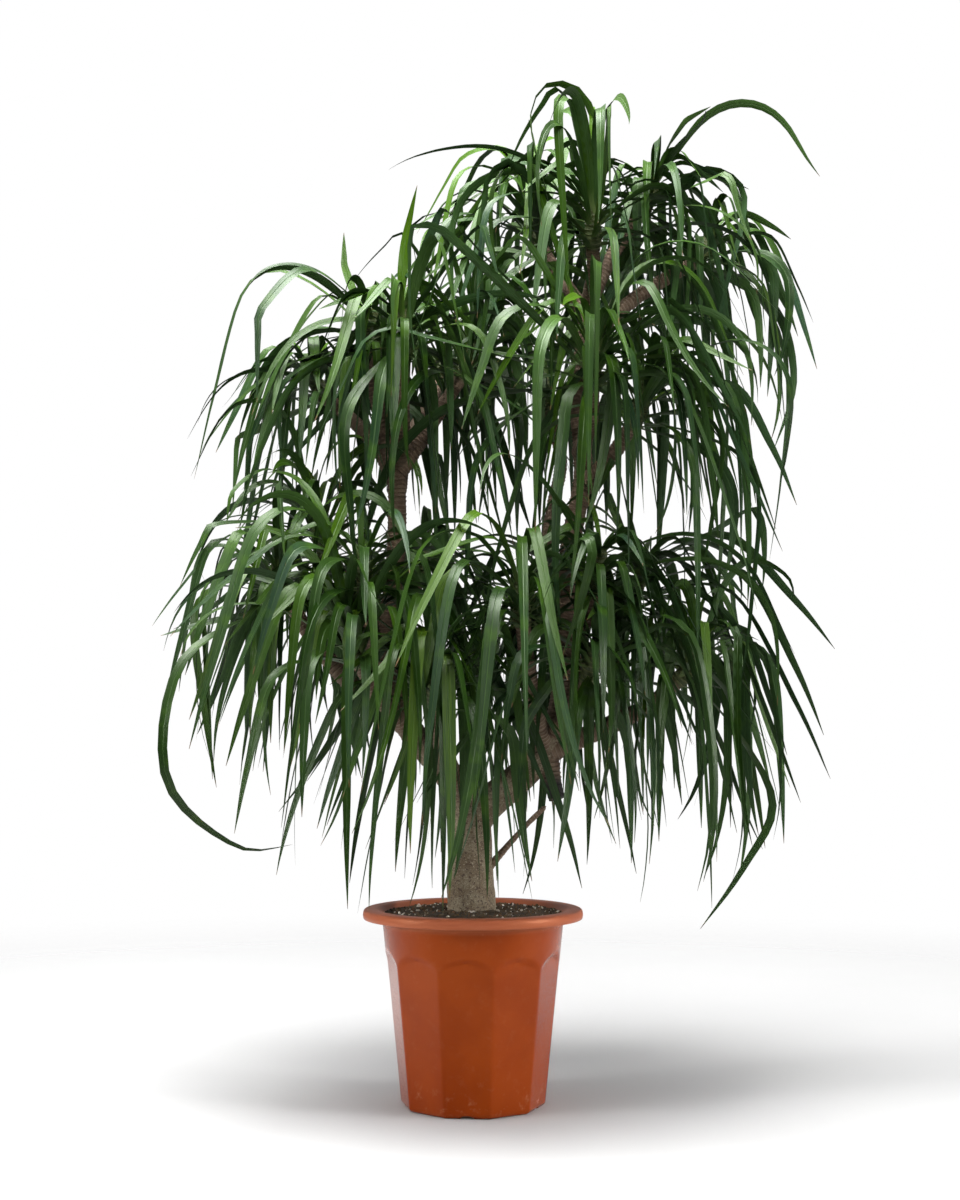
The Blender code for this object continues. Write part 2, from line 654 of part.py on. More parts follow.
def clear_of_own(shape, points, faces, facet, grown):
    """No crossing with the leaves and the stem of the same crown, which it touches at its root alone."""
    rest = [face for face in faces if face != facet]
    standing = BVHTree.FromPolygons(points, rest)
    if shape.thin.overlap(standing) or shape.outer.overlap(standing):
        return False
    new = blade_faces(facet, len(points), len(grown))
    tree = BVHTree.FromPolygons(points + grown, new)
    return not meets(new, tree, rest, standing) and not meets(new, tree, new, tree)


def drawn_leaf(crown, facing, age, chance, loose):
    """A leaf as it grows: age 0 is the lowest and oldest, 1 the youngest; loose widens the draw."""
    azimuth = facing + chance.uniform(-13, 13) * (1 + 1.6 * loose)
    rise = crown.lift + 72 * age + chance.uniform(-12, 12) * (1 + loose)
    fall = chance.uniform(-92, -66) + 50 * age ** 6
    grown = 1 - 0.50 * max(0, (age - 0.75) / 0.25)
    length = crown.reach * grown * chance.uniform(0.74, 1.06)
    width = LEAF_WIDTH * chance.uniform(0.85, 1.08) * (0.75 + 0.25 * grown)
    bend_from = chance.uniform(0.02, 0.10)
    bend_to = crown.droop * chance.uniform(0.80, 1.40)
    sway = chance.uniform(-28, 28)
    twist = chance.choice((-1, 1)) * chance.uniform(15, 70)
    return Leaf(azimuth, rise, fall, length, width, bend_from, bend_to, sway, twist)


def outline_leaf(values, chance, loose):
    """A leaf of the plant's outline, turned a little where it would cross another."""
    azimuth, rise, fall, length, bend_from, bend_to = values
    turn = chance.uniform(-9, 9) * loose
    tilt = chance.uniform(-6, 6) * loose
    width = LEAF_WIDTH * chance.uniform(0.92, 1.05)
    twist = chance.choice((-1, 1)) * chance.uniform(35, 65)
    return Leaf(azimuth + turn, rise + tilt, fall, length, width, bend_from, bend_to, turn / 2, twist)


def turn_between(a, b):
    """The angle between two azimuths in degrees."""
    return abs((a - b + 180) % 360 - 180)


def assigned(crown, facings):
    """Each outline leaf takes the facet that faces its way, in the row that suits its rise."""
    taken = {}
    for values in OUTLINE_LEAVES.get(crown.name, []):
        row = min(CORE_ROWS - 1, max(0, int(values[1] / 17)))
        free = [k for k in range(len(facings)) if k not in taken]
        best = min(free, key=lambda k: turn_between(facings[k], values[0]) + 22 * abs(k // CORE_SIDES - row))
        taken[best] = values
    return taken


def grow_crown(crown, limb, others, solids, finish):
    """One solid: the leafy stem with a leaf grown out of each facet that has room for one."""
    points, faces, facets = core_mesh(limb)
    faces += facets
    centres = [sum((points[k] for k in facet), Vector()) / 3 for facet in facets]
    middles = core_line(limb)
    outwards = [centre - middles[k // CORE_SIDES] for k, centre in enumerate(centres)]
    facings = [math.degrees(math.atan2(out.y, out.x)) for out in outwards]
    special = assigned(crown, facings)
    order = sorted(range(len(facets)), key=lambda k: (k not in special, k * SPREAD_STEP % len(facets)))
    shapes = []
    for k in order:
        if len(shapes) == crown.leaves:
            break
        chance = random.Random(f"{crown.seed} {crown.name} {k}")
        corners = [points[c] for c in facets[k]]
        age = (k // CORE_SIDES + chance.random()) / CORE_ROWS
        for attempt in range(TRIES):
            loose = 2 * attempt / TRIES
            if k in special:
                leaf = outline_leaf(special[k], chance, loose)
            else:
                leaf = drawn_leaf(crown, facings[k], age, chance, loose)
            line = leaf_line(leaf, centres[k])
            grown = blade(leaf, line)
            shape = shape_of(leaf, line, corners)
            if not clear_of_others(shape, others, solids):
                continue
            if clear_of_own(shape, points, faces, facets[k], grown):
                shapes.append(shape)
                faces.remove(facets[k])
                faces += blade_faces(facets[k], len(points), len(grown))
                points += grown
                break
    mesh_object(crown.name, points, faces, finish)
    return shapes


def crowns(finish, solids):
    """Every crown in turn, clear of the others' stems and of the leaves that already stand."""
    limbs = {limb.name: limb for limb in LIMBS}
    cores = {}
    for crown in CROWNS:
        points, faces, facets = core_mesh(limbs[crown.limb])
        cores[crown.name] = BVHTree.FromPolygons(points, faces + facets)
    others = []
    for crown in CROWNS:
        walls = solids + [tree for name, tree in cores.items() if name != crown.name]
        others += grow_crown(crown, limbs[crown.limb], others, walls, finish)


def main():
    clear_scene()
    terracotta = material("terracotta_plastic", (0.50, 0.115, 0.035), 0.28)
    earth = material("potting_soil", (0.045, 0.028, 0.018), 0.95)
    bark = material("bark", (0.19, 0.13, 0.09), 0.85)
    green = material("leaf_green", (0.045, 0.13, 0.035), 0.38)
    shell = pot(terracotta)
    ground = soil(earth)
    stems = wood(bark)
    crowns(green, [tree_of(shell), tree_of(ground), tree_of(stems)])


main()
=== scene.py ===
# %% [markdown]
# # The looks of a potted dracaena
#
# The solids of this plant are already built: a pot, its soil, one woody plant, and a crown of strap
# leaves at the end of each limb. This lesson dresses them. Each piece is made again in fine detail
# around the solid that it stands for, in the same place and at the same size. Everything is in
# metres, with +Z up, and the front of the plant faces -Y.

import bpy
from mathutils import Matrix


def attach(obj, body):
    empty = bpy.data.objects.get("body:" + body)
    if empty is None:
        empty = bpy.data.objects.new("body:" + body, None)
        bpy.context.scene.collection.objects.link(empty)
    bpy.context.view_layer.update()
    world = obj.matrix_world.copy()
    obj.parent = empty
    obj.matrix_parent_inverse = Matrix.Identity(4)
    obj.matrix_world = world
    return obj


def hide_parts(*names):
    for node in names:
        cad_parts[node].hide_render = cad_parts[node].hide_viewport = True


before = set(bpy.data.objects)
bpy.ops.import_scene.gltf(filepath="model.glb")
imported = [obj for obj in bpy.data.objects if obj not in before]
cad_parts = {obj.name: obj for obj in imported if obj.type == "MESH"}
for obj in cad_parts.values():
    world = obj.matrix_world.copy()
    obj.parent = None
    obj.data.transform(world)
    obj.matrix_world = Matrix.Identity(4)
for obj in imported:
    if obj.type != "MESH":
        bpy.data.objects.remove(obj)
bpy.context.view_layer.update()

# %% [markdown]
# ## Tools
#
# Node trees do most of the work here, for shapes and for finishes. Written out node by node they are
# hard to read, so one small class wraps a socket. Arithmetic on it adds Math nodes, and one method
# adds a node of any other kind. The same class serves material trees and geometry trees.

# %% A socket that can be calculated with
import math
import random
from collections import namedtuple

import bmesh
import bpy
from mathutils import Matrix, Vector, noise


class Wire:
    """An output socket in a node tree."""

    def __init__(self, tree, socket=None):
        self.tree = tree
        self.socket = socket

    def node(self, kind, settings=None, values=None, take=None):
        """Add a node, give it its settings and then its values or links, and take one output."""
        made = self.tree.nodes.new(kind)
        for name, value in (settings or {}).items():
            setattr(made, name, value)
        for key, value in (values or {}).items():
            self.feed(pick(made.inputs, key), value)
        return Wire(self.tree, pick(made.outputs, take))

    def feed(self, entry, value):
        if isinstance(value, Wire):
            self.tree.links.new(value.socket, entry)
        else:
            entry.default_value = value

    def beside(self, name):
        """Another output of the same node."""
        return Wire(self.tree, pick(self.socket.node.outputs, name))

    def calculated(self, operation, *values):
        return self.node("ShaderNodeMath", {"operation": operation}, dict(enumerate(values)))

    def math(self, operation, *others):
        return self.calculated(operation, self, *others)

    def __add__(self, other):
        return self.math("ADD", other)

    def __sub__(self, other):
        return self.math("SUBTRACT", other)

    def __rsub__(self, other):
        return self.calculated("SUBTRACT", other, self)

    def __mul__(self, other):
        return self.math("MULTIPLY", other)

    def __truediv__(self, other):
        return self.math("DIVIDE", other)

    def __pow__(self, other):
        return self.math("POWER", other)

    __radd__ = __add__
    __rmul__ = __mul__


def pick(sockets, key):
    """The socket at a place or of a name, among those in use; without a key, the first one."""
    usable = [socket for socket in sockets if socket.enabled]
    if isinstance(key, str):
        return next(socket for socket in usable if socket.name == key)
    return usable[key or 0]


print("Wires add nodes of any kind")

# %% [markdown]
# A few forms come back in every finish: a smooth step between two values, a mix of two colours,
# colours laid over each other, a noise, and a bump. Each is a function on wires, so that the finishes
# below read like recipes.

# %% Forms that the finishes share


def step_between(value, low, high):
    """0 below low, 1 above high, and smooth between them."""
    settings = {"interpolation_type": "SMOOTHSTEP"}
    return value.node("ShaderNodeMapRange", settings, {"Value": value, "From Min": low, "From Max": high})


def mixed(factor, low, high):
    """A colour between two others."""
    return factor.node("ShaderNodeMix", {"data_type": "RGBA"}, {"Factor": factor, "A": low, "B": high})


def layered(ground, *layers):
    """The ground's colour under others, each laid over it by its own share."""
    for share, over in layers:
        ground = mixed(share, ground, over)
    return ground


def colour(red, green, blue):
    return (red, green, blue, 1)


def part_of(vector, axis):
    """One of a vector's three numbers."""
    return vector.node("ShaderNodeSeparateXYZ", None, {0: vector}, take=axis)


def object_place(start, stretch=(1, 1, 1)):
    """Where a point is on the piece, in metres, stretched along its axes."""
    place = start.node("ShaderNodeTexCoord", take="Object")
    return start.node("ShaderNodeMapping", None, {"Vector": place, "Scale": stretch})


def cloudy(place, scale, detail=3, rough=0.5):
    """A noise from about 0.3 to 0.7, with so many lumps to a metre."""
    values = {"Vector": place, "Scale": scale, "Detail": detail, "Roughness": rough}
    return place.node("ShaderNodeTexNoise", None, values, take=0)


def painted(start, name):
    """A number that a geometry tree has stored on the piece."""
    return start.node("ShaderNodeAttribute", {"attribute_name": name}, take="Fac")


def bumped(height, depth):
    """A normal for a surface whose height goes from 0 to 1 over a depth in metres."""
    return height.node("ShaderNodeBump", None, {"Height": height, "Distance": depth, "Strength": 1})


def new_finish(name):
    """A material, the feeder of its Principled shader, and a wire to start its sums from."""
    made = bpy.data.materials.new(name)
    made.use_nodes = True
    shader = made.node_tree.nodes["Principled BSDF"]
    start = Wire(made.node_tree)

    def set_sockets(**values):
        for key, value in values.items():
            start.feed(shader.inputs[key.replace("_", " ")], value)

    return made, start, set_sockets


print("Shared forms are ready")

# %% [markdown]
# Geometry trees need a little of their own: an input for the shape, one output, and a named input
# for each size, so that the same tree can be run with other values. A modifier finds an input by the
# identifier of its socket. After the run the plain mesh is kept and the modifier goes.

# %% Build and run geometry trees
SOCKET_KINDS = {float: "NodeSocketFloat", int: "NodeSocketInt"}


def new_tree(name, sizes):
    """A geometry tree, its inputs as wires, and a function that closes it with its result."""
    tree = bpy.data.node_groups.new(name, "GeometryNodeTree")
    tree.interface.new_socket("Shape", in_out="INPUT", socket_type="NodeSocketGeometry")
    tree.interface.new_socket("Shape", in_out="OUTPUT", socket_type="NodeSocketGeometry")
    for label, value in sizes.items():
        kind = SOCKET_KINDS[type(value)]
        tree.interface.new_socket(label, in_out="INPUT", socket_type=kind).default_value = value
    tree.interface.new_socket("Finish", in_out="INPUT", socket_type="NodeSocketMaterial")
    entry = tree.nodes.new("NodeGroupInput")
    inputs = {socket.name: Wire(tree, socket) for socket in entry.outputs if socket.name}

    def close(shape):
        """Smooth, realize and paint the shape, and send it out."""
        shape = shape.node("GeometryNodeSetShadeSmooth", None, {0: shape})
        shape = shape.node("GeometryNodeRealizeInstances", None, {0: shape})
        shape = shape.node("GeometryNodeSetMaterial", None, {0: shape, "Material": inputs["Finish"]})
        tree.links.new(shape.socket, tree.nodes.new("NodeGroupOutput").inputs[0])

    return tree, inputs, close


def run_tree(obj, tree, finish, values=None):
    """The object keeps the mesh that the tree makes of it, with this finish and these sizes."""
    modifier = obj.modifiers.new(tree.name, "NODES")
    modifier.node_group = tree
    identifiers = {item.name: item.identifier for item in tree.interface.items_tree}
    for label, value in {**(values or {}), "Finish": finish}.items():
        modifier[identifiers[label]] = value
    keep_result(obj)


def keep_result(obj):
    """Turn what the modifiers make into a plain mesh and remove them."""
    graph = bpy.context.evaluated_depsgraph_get()
    result = bpy.data.meshes.new_from_object(obj.evaluated_get(graph))
    obj.modifiers.clear()
    obj.data = result


def stored(shape, name, value, kind="FLOAT", domain="POINT"):
    """Store a value under a name on the shape's points."""
    settings = {"data_type": kind, "domain": domain}
    values = {"Geometry": shape, "Name": name, "Value": value}
    return shape.node("GeometryNodeStoreNamedAttribute", settings, values)


def read_back(start, name, kind="FLOAT"):
    return start.node("GeometryNodeInputNamedAttribute", {"data_type": kind}, {"Name": name})


def scaled(vector, factor):
    return vector.node("ShaderNodeVectorMath", {"operation": "SCALE"}, {"Vector": vector, "Scale": factor})


def shifted(shape, offset):
    return shape.node("GeometryNodeSetPosition", None, {"Geometry": shape, "Offset": offset})


def noise_on_shape(start, scale, detail, take=0):
    """A noise at each point of a shape, with so many lumps to a metre."""
    return start.node("ShaderNodeTexNoise", None, {"Scale": scale, "Detail": detail}, take=take)


print("Trees can be built and run")

# %% [markdown]
# Meshes made point by point come in two kinds here. The pot and the soil are rows of points round an
# axis under a skin of quads. Limbs and leaves are lines of points with no faces yet: each line stores
# numbers at its points, such as a girth, and a tree reads them when it makes the faces.

# %% Meshes from points


def link(obj):
    bpy.context.scene.collection.objects.link(obj)
    return obj


def mesh_object(name, points, faces=(), edges=()):
    mesh = bpy.data.meshes.new(name)
    mesh.from_pydata([tuple(p) for p in points], list(edges), list(faces))
    return link(bpy.data.objects.new(name, mesh))


def object_of_rows(name, rows):
    """A closed skin over rows of points that all run the same way round, with a lid at each end."""
    count = len(rows[0])
    faces = []
    for k in range(len(rows) - 1):
        for i in range(count):
            j = (i + 1) % count
            faces.append((k * count + i, k * count + j, (k + 1) * count + j, (k + 1) * count + i))
    first_lid = list(range(count))[::-1]
    last_lid = list(range((len(rows) - 1) * count, len(rows) * count))
    return mesh_object(name, [p for row in rows for p in row], faces + [first_lid, last_lid])


def note_at_points(obj, name, numbers):
    """Store a number, or a vector, at each point of a mesh."""
    is_vector = isinstance(numbers[0], Vector)
    layer = obj.data.attributes.new(name, "FLOAT_VECTOR" if is_vector else "FLOAT", "POINT")
    flat = [x for v in numbers for x in v] if is_vector else numbers
    layer.data.foreach_set("vector" if is_vector else "value", flat)


def object_of_lines(name, lines):
    """Lines of points; each field of a line after its points holds a number for each point."""
    points, edges = [], []
    for line in lines:
        first = len(points)
        edges += [(first + i, first + i + 1) for i in range(len(line.points) - 1)]
        points += line.points
    made = mesh_object(name, points, edges=edges)
    for field in lines[0]._fields[1:]:
        note_at_points(made, field, [x for line in lines for x in getattr(line, field)])
    return made


def shade(obj, sharp_above=None):
    """Smooth shading, apart from edges that fold by more than an angle in degrees."""
    obj.data.shade_smooth()
    if sharp_above:
        obj.data.set_sharp_from_angle(angle=math.radians(sharp_above))


def smoothstep(x):
    """0 below 0, 1 above 1, and smooth between them."""
    x = min(1.0, max(0.0, x))
    return x * x * (3 - 2 * x)


def triangle_count(obj):
    return sum(len(face.vertices) - 2 for face in obj.data.polygons)


def dress(obj, slot, *nodes):
    """Put a finished piece in its place in the frame."""
    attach(obj, "root")
    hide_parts(*nodes)
    print(obj.name, "has", triangle_count(obj), "triangles")


print("Mesh helpers are ready")

# %% [markdown]
# ## The studio
#
# The plant stands on a pale floor in soft light. The camera has the photograph's viewpoint: low,
# 2.8 m in front of the plant, and tilted up a little. Its lens was found by fitting the pot's lip
# and foot.

# %% The camera
CAMERA_AT = (0.0108, -2.80, 0.59)
CAMERA_TILT = math.radians(3.8)
FOCAL_LENGTH = 53.85


def add_camera():
    data = bpy.data.cameras.new("camera")
    data.lens = FOCAL_LENGTH
    made = link(bpy.data.objects.new("camera", data))
    made.location = CAMERA_AT
    made.rotation_euler = (math.pi / 2 + CAMERA_TILT, 0, 0)
    bpy.context.scene.camera = made


add_camera()
bpy.context.scene.view_settings.view_transform = "Standard"
print("The camera stands at", CAMERA_AT)

# %% [markdown]
# Most light falls from above, as under an open sky. A soft light at each side brightens the pot's
# side faces. Both are low and narrowed by a grid, so that they leave the leaves to the light from
# above. A fourth light, high behind the camera and narrowed too, reaches the fronts of the upper
# crowns. The rest of that side is left dim, because a surface that faces it would mirror it, and
# leaves and plastic alike would lose their depth of colour.

# %% The lights
BACKDROP = 1.0
SIDE_LIGHT = 0.24
OVERHEAD_LIGHT = 0.55
FRONT_SHADE = 0.92
ABOVE_FROM = (0.0, 0.8)
IN_FRONT_FROM = (0.2, 0.9)
# Where it is, where it points, its two sides, its watts and its spread in degrees
SOFTBOXES = {
    "sky": ((-0.2, -0.4, 3.2), (0, 0, 0.8), (2.2, 1.6), 290, 180),
    "left": ((-2.2, -0.9, 0.7), (0, 0, 0.15), (0.6, 1.2), 1.8, 24),
    "right": ((2.2, -0.7, 0.7), (0, 0, 0.15), (0.6, 1.2), 2.8, 26),
    "front": ((0.2, -2.9, 2.4), (0, 0, 1.40), (1.4, 0.8), 6.5, 32),
}


def add_softbox(name, at, towards, size, watts, spread):
    data = bpy.data.lights.new(name, "AREA")
    data.shape = "RECTANGLE"
    data.size, data.size_y = size
    data.energy = watts
    data.spread = math.radians(spread)
    made = link(bpy.data.objects.new(name, data))
    made.location = at
    made.rotation_euler = (Vector(towards) - Vector(at)).to_track_quat("-Z", "Y").to_euler()


def add_world():
    """White where the camera sees it; the light itself comes from above, behind and both sides."""
    world = bpy.data.worlds.new("world")
    world.use_nodes = True
    start = Wire(world.node_tree)
    direction = start.node("ShaderNodeTexCoord", take="Generated")
    backwards = part_of(direction, "Y")
    above = step_between(backwards.beside("Z"), *ABOVE_FROM)
    in_front = step_between(-1 * backwards, *IN_FRONT_FROM) * (1 - above)
    light = (SIDE_LIGHT + (OVERHEAD_LIGHT - SIDE_LIGHT) * above) * (1 - FRONT_SHADE * in_front)
    seen = start.node("ShaderNodeLightPath", take="Is Camera Ray")
    background = world.node_tree.nodes["Background"]
    start.feed(background.inputs["Strength"], seen * BACKDROP + (1 - seen) * light)
    start.feed(background.inputs["Color"], colour(1, 1, 1))
    bpy.context.scene.world = world


for name, values in SOFTBOXES.items():
    add_softbox(name, *values)
add_world()
print(len(SOFTBOXES), "soft lights and a pale world")

# %% [markdown]
# The floor is a plain pale disc. Towards its edge it turns clear, so that it runs into the backdrop
# without a line.

# %% The floor
FLOOR_RADIUS = 3.0
FLOOR_POINTS = 96
FLOOR_FADE = (1.0, 2.8)
FLOOR_GREYS = (colour(0.50, 0.50, 0.50), colour(0.53, 0.53, 0.53))


def floor_finish():
    finish, start, set_sockets = new_finish("pale_floor")
    place = object_place(start)
    far = start.node("ShaderNodeVectorMath", {"operation": "LENGTH"}, {0: place}, take="Value")
    set_sockets(
        Base_Color=mixed(cloudy(place, 3), *FLOOR_GREYS), Roughness=0.7,
        Alpha=1 - step_between(far, *FLOOR_FADE))
    return finish


def add_floor():
    turns = [math.tau * i / FLOOR_POINTS for i in range(FLOOR_POINTS)]
    points = [(FLOOR_RADIUS * math.cos(a), FLOOR_RADIUS * math.sin(a), 0) for a in turns]
    made = mesh_object("floor", points, [range(FLOOR_POINTS)])
    made.data.materials.append(floor_finish())


add_floor()
print("The floor is", FLOOR_RADIUS, "m in radius")

# %% [markdown]
# ## The pot
#
# A grower's pot is blown or moulded in thin plastic. Its wall is a slender cone with ten flat faces.
# Under the lip the wall is round, and each face ends there in an arch, because a flat face runs out
# of the cone later in its middle than at its corners. The lip is rolled outwards, and channels under
# the base let water out. All of it is one profile turned about the axis, with the radius of each
# point shortened where a face is flat.

# %% Sizes of the pot
POT_HEIGHT = 0.300
LIP_RADIUS = 0.170
MOUTH_RADIUS = 0.1435
BAND_RADIUS = 0.1415
FACES_TOP_RADIUS = 0.136
FOOT_RADIUS = 0.111
FACE_COUNT = 10
FACE_TURN = math.radians(-94.5)
FACES_TOP = 0.238
ARCH_DROP = 0.015
LEDGE = 0.009
CORNER_CUT = 0.997
CORNER_SOFTNESS = 0.002
WALL = 0.0025
BASE_THICKNESS = 0.008
AROUND = 320


def cone_radius(z):
    """The outside of the wall if it had no flat faces."""
    if z < FACES_TOP:
        return FOOT_RADIUS + (FACES_TOP_RADIUS - FOOT_RADIUS) * z / FACES_TOP
    return FACES_TOP_RADIUS + (BAND_RADIUS - FACES_TOP_RADIUS) * (z - FACES_TOP) / (POT_HEIGHT - FACES_TOP)


def flatness(angle, z):
    """The share of the cone's radius that is left on a flat face with softened corners."""
    half = math.pi / FACE_COUNT
    from_middle = (angle - FACE_TURN + half) % (2 * half) - half
    flat = math.cos(half) / math.cos(from_middle)
    over = flat - CORNER_CUT
    flat -= (over + math.hypot(over, CORNER_SOFTNESS)) / 2
    top = FACES_TOP - ARCH_DROP * (from_middle / half) ** 2
    return 1 + (flat - 1) * smoothstep((top - z) / LEDGE)


print("A face is", round(2 * FOOT_RADIUS * math.sin(math.pi / FACE_COUNT) * 1000), "mm wide at the foot")

# %% [markdown]
# The profile is one open line. It starts near the middle of the underside, runs out along it and up
# the wall, turns over the rolled lip, and comes down the inside to the pot's floor. Its corners are
# rounded, because moulded plastic has no sharp edge, and long pieces are divided so that the arches
# over the faces get enough points.

# %% The profile of the pot
CAP_RADIUS = 0.012
# The cut corner at the foot: how far in, and how far up
FOOT_CUT = (0.004, 0.0045)
# Points of the rolled lip: how far inside its largest radius, and how far below the top
ROLLED_LIP = (
    (0.0100, 0.0045), (0.0036, 0.0075), (0.0036, 0.0158), (0.0012, 0.0160),
    (0.0000, 0.0100), (0.0015, 0.0020), (0.0100, 0.0000))
# The mouth's edge: how far outside the mouth's radius, and how far below the top
MOUTH_EDGE = (0.0040, 0.0008)
# How far below the top the wall ends outside, under the lip, and starts inside
BAND_TOP = 0.0085
INNER_EDGE = 0.009
# A rounded corner takes at most this share of the shorter side beside it
LARGEST_SHARE = 0.45
ROUNDING = 0.0035
PROFILE_STEP = 0.0045


def rounded(points, radius, steps=4):
    """The same open line with each inner corner replaced by a short curve."""
    line = [Vector(points[0])]
    for before, corner, after in zip(points, points[1:], points[2:]):
        before, corner, after = Vector(before), Vector(corner), Vector(after)
        shorter = min((before - corner).length, (after - corner).length)
        reach = min(radius, shorter * LARGEST_SHARE)
        start = corner + (before - corner).normalized() * reach
        end = corner + (after - corner).normalized() * reach
        for k in range(steps + 1):
            t = k / steps
            line.append(start.lerp(corner, t).lerp(corner.lerp(end, t), t))
    return line + [Vector(points[-1])]


def subdivided(line, longest):
    """The same line with no segment longer than a length."""
    out = [line[0]]
    for a, b in zip(line, line[1:]):
        count = max(1, math.ceil((b - a).length / longest))
        out += [a.lerp(b, k / count) for k in range(1, count + 1)]
    return out


def pot_profile():
    """Radius and height, from the middle of the underside, up the outside, and down the inside."""
    top = POT_HEIGHT
    cut_in, cut_up = FOOT_CUT
    underside = [(CAP_RADIUS, 0), (cone_radius(0) - cut_in, 0)]
    outside = [(cone_radius(z), z) for z in (cut_up, top - BAND_TOP)]
    lip = [(LIP_RADIUS - inwards, top - down) for inwards, down in ROLLED_LIP]
    mouth = [(MOUTH_RADIUS + MOUTH_EDGE[0], top - MOUTH_EDGE[1])]
    inside = [(cone_radius(z) - WALL, z) for z in (top - INNER_EDGE, BASE_THICKNESS)]
    line = underside + outside + lip + mouth + inside + [(CAP_RADIUS, BASE_THICKNESS)]
    return subdivided(rounded(line, ROUNDING), PROFILE_STEP)


def faceted_row(radius, z, count):
    """One row of points round the pot's axis, nearer to it where a face is flat."""
    row = []
    for i in range(count):
        angle = math.tau * i / count
        r = radius * flatness(angle, z)
        row.append(Vector((r * math.cos(angle), r * math.sin(angle), z)))
    return row


profile = pot_profile()
print("The profile has", len(profile), "points")

# %% [markdown]
# The rows of the profile close into a solid shell. Five troughs are cut into its underside, each
# from the foot inwards, and a round hole goes through the base at the inner end of each.

# %% The pot and its drainage
CHANNEL_COUNT = 5
CHANNEL_WIDTH = 0.022
CHANNEL_HEIGHT = 0.005
CHANNEL_INNER = 0.052
CHANNEL_SIDES = 24
PAST_THE_FOOT = 0.02
DRAIN_RADIUS = 0.005
SHARP_IN_PLASTIC = 35


def rod(radius, length, place):
    """A round bar, made along z and then put in its place."""
    shape = bmesh.new()
    bmesh.ops.create_cone(
        shape, cap_ends=True, segments=CHANNEL_SIDES, radius1=radius, radius2=radius, depth=length,
        matrix=place)
    return shape


def cutter(name, shape, turn):
    """A closed mesh, turned about the pot's axis, that will be cut away."""
    mesh = bpy.data.meshes.new(name)
    bmesh.ops.transform(shape, matrix=Matrix.Rotation(turn, 4, "Z"), verts=shape.verts)
    shape.to_mesh(mesh)
    shape.free()
    return link(bpy.data.objects.new(name, mesh))


def channel(turn):
    """A rounded trough under the base, open at the foot."""
    length = FOOT_RADIUS + PAST_THE_FOOT - CHANNEL_INNER
    place = Matrix.Translation((CHANNEL_INNER + length / 2, 0, 0)) @ Matrix.Rotation(math.pi / 2, 4, "Y")
    shape = rod(CHANNEL_WIDTH / 2, length, place)
    flatten = Matrix.Diagonal((1, 1, 2 * CHANNEL_HEIGHT / CHANNEL_WIDTH, 1))
    bmesh.ops.transform(shape, matrix=flatten, verts=shape.verts)
    return cutter("channel", shape, turn)


def drain(turn):
    """A round hole through the base at the inner end of a channel."""
    place = Matrix.Translation((CHANNEL_INNER + CHANNEL_WIDTH / 2, 0, BASE_THICKNESS / 2))
    return cutter("drain", rod(DRAIN_RADIUS, 4 * BASE_THICKNESS, place), turn)


def cut_away(obj, pieces):
    """Cut closed meshes out of an object and remove them."""
    group = bpy.data.collections.new("cutters")
    bpy.context.scene.collection.children.link(group)
    for piece in pieces:
        bpy.context.scene.collection.objects.unlink(piece)
        group.objects.link(piece)
    boolean = obj.modifiers.new("cut", "BOOLEAN")
    boolean.operation = "DIFFERENCE"
    boolean.solver = "MANIFOLD"
    boolean.operand_type = "COLLECTION"
    boolean.collection = group
    keep_result(obj)
    for piece in pieces:
        bpy.data.objects.remove(piece)
    bpy.data.collections.remove(group)


def make_pot():
    made = object_of_rows("pot_shell", [faceted_row(radius, z, AROUND) for radius, z in profile])
    turns = [FACE_TURN + math.tau * i / CHANNEL_COUNT for i in range(CHANNEL_COUNT)]
    cut_away(made, [channel(turn) for turn in turns])
    cut_away(made, [drain(turn) for turn in turns])
    shade(made, sharp_above=SHARP_IN_PLASTIC)
    return made


pot = make_pot()
print("The pot is made of", len(pot.data.polygons), "faces")

# %% [markdown]
# The plastic is a warm terracotta colour, glossy, and a little uneven, as blown plastic is. A
# nursery pot has been handled: a thin film of dust, fine rubbed marks that run round it, and dried
# splashes near the foot. The lip is paler and duller than the rest.

# %% The pot's finish
TERRACOTTA = (colour(0.186, 0.024, 0.002), colour(0.223, 0.033, 0.003))
PALE_DULL_LIP = colour(0.430, 0.150, 0.080)
DRIED_SPLASH = colour(0.48, 0.28, 0.17)
PLASTIC_GLINT = colour(1.0, 0.42, 0.20)
LIP_FROM = (0.270, 0.282)
SPLASHES_TO = 0.07


def terracotta_finish():
    finish, start, set_sockets = new_finish("pot_plastic")
    place = object_place(start)
    height = part_of(place, "Z")
    cloud = cloudy(place, 9, 4)
    fine = cloudy(place, 420, 2)
    rubbed = cloudy(object_place(start, (30, 30, 240)), 1, 5, 0.6)
    dust = step_between(cloudy(place, 60, 6, 0.65), 0.52, 0.74)
    low_down = 1 - step_between(height, 0.0, SPLASHES_TO)
    on_lip = step_between(height, *LIP_FROM)
    body = layered(
        mixed(step_between(cloud, 0.35, 0.65), *TERRACOTTA),
        (on_lip * (0.30 + 0.30 * rubbed), PALE_DULL_LIP),
        (dust * (0.03 + 0.16 * low_down), DRIED_SPLASH))
    rough = 0.12 + 0.10 * step_between(rubbed, 0.45, 0.75) + 0.22 * dust * (0.3 + 0.7 * low_down)
    set_sockets(
        Base_Color=body, Roughness=rough + 0.25 * on_lip, Specular_IOR_Level=0.34,
        Specular_Tint=PLASTIC_GLINT, Normal=bumped(0.7 * cloud + 0.3 * fine, 0.0006))
    return finish


pot.data.materials.clear()
pot.data.materials.append(terracotta_finish())
dress(pot, "terracotta_plastic", "pot")

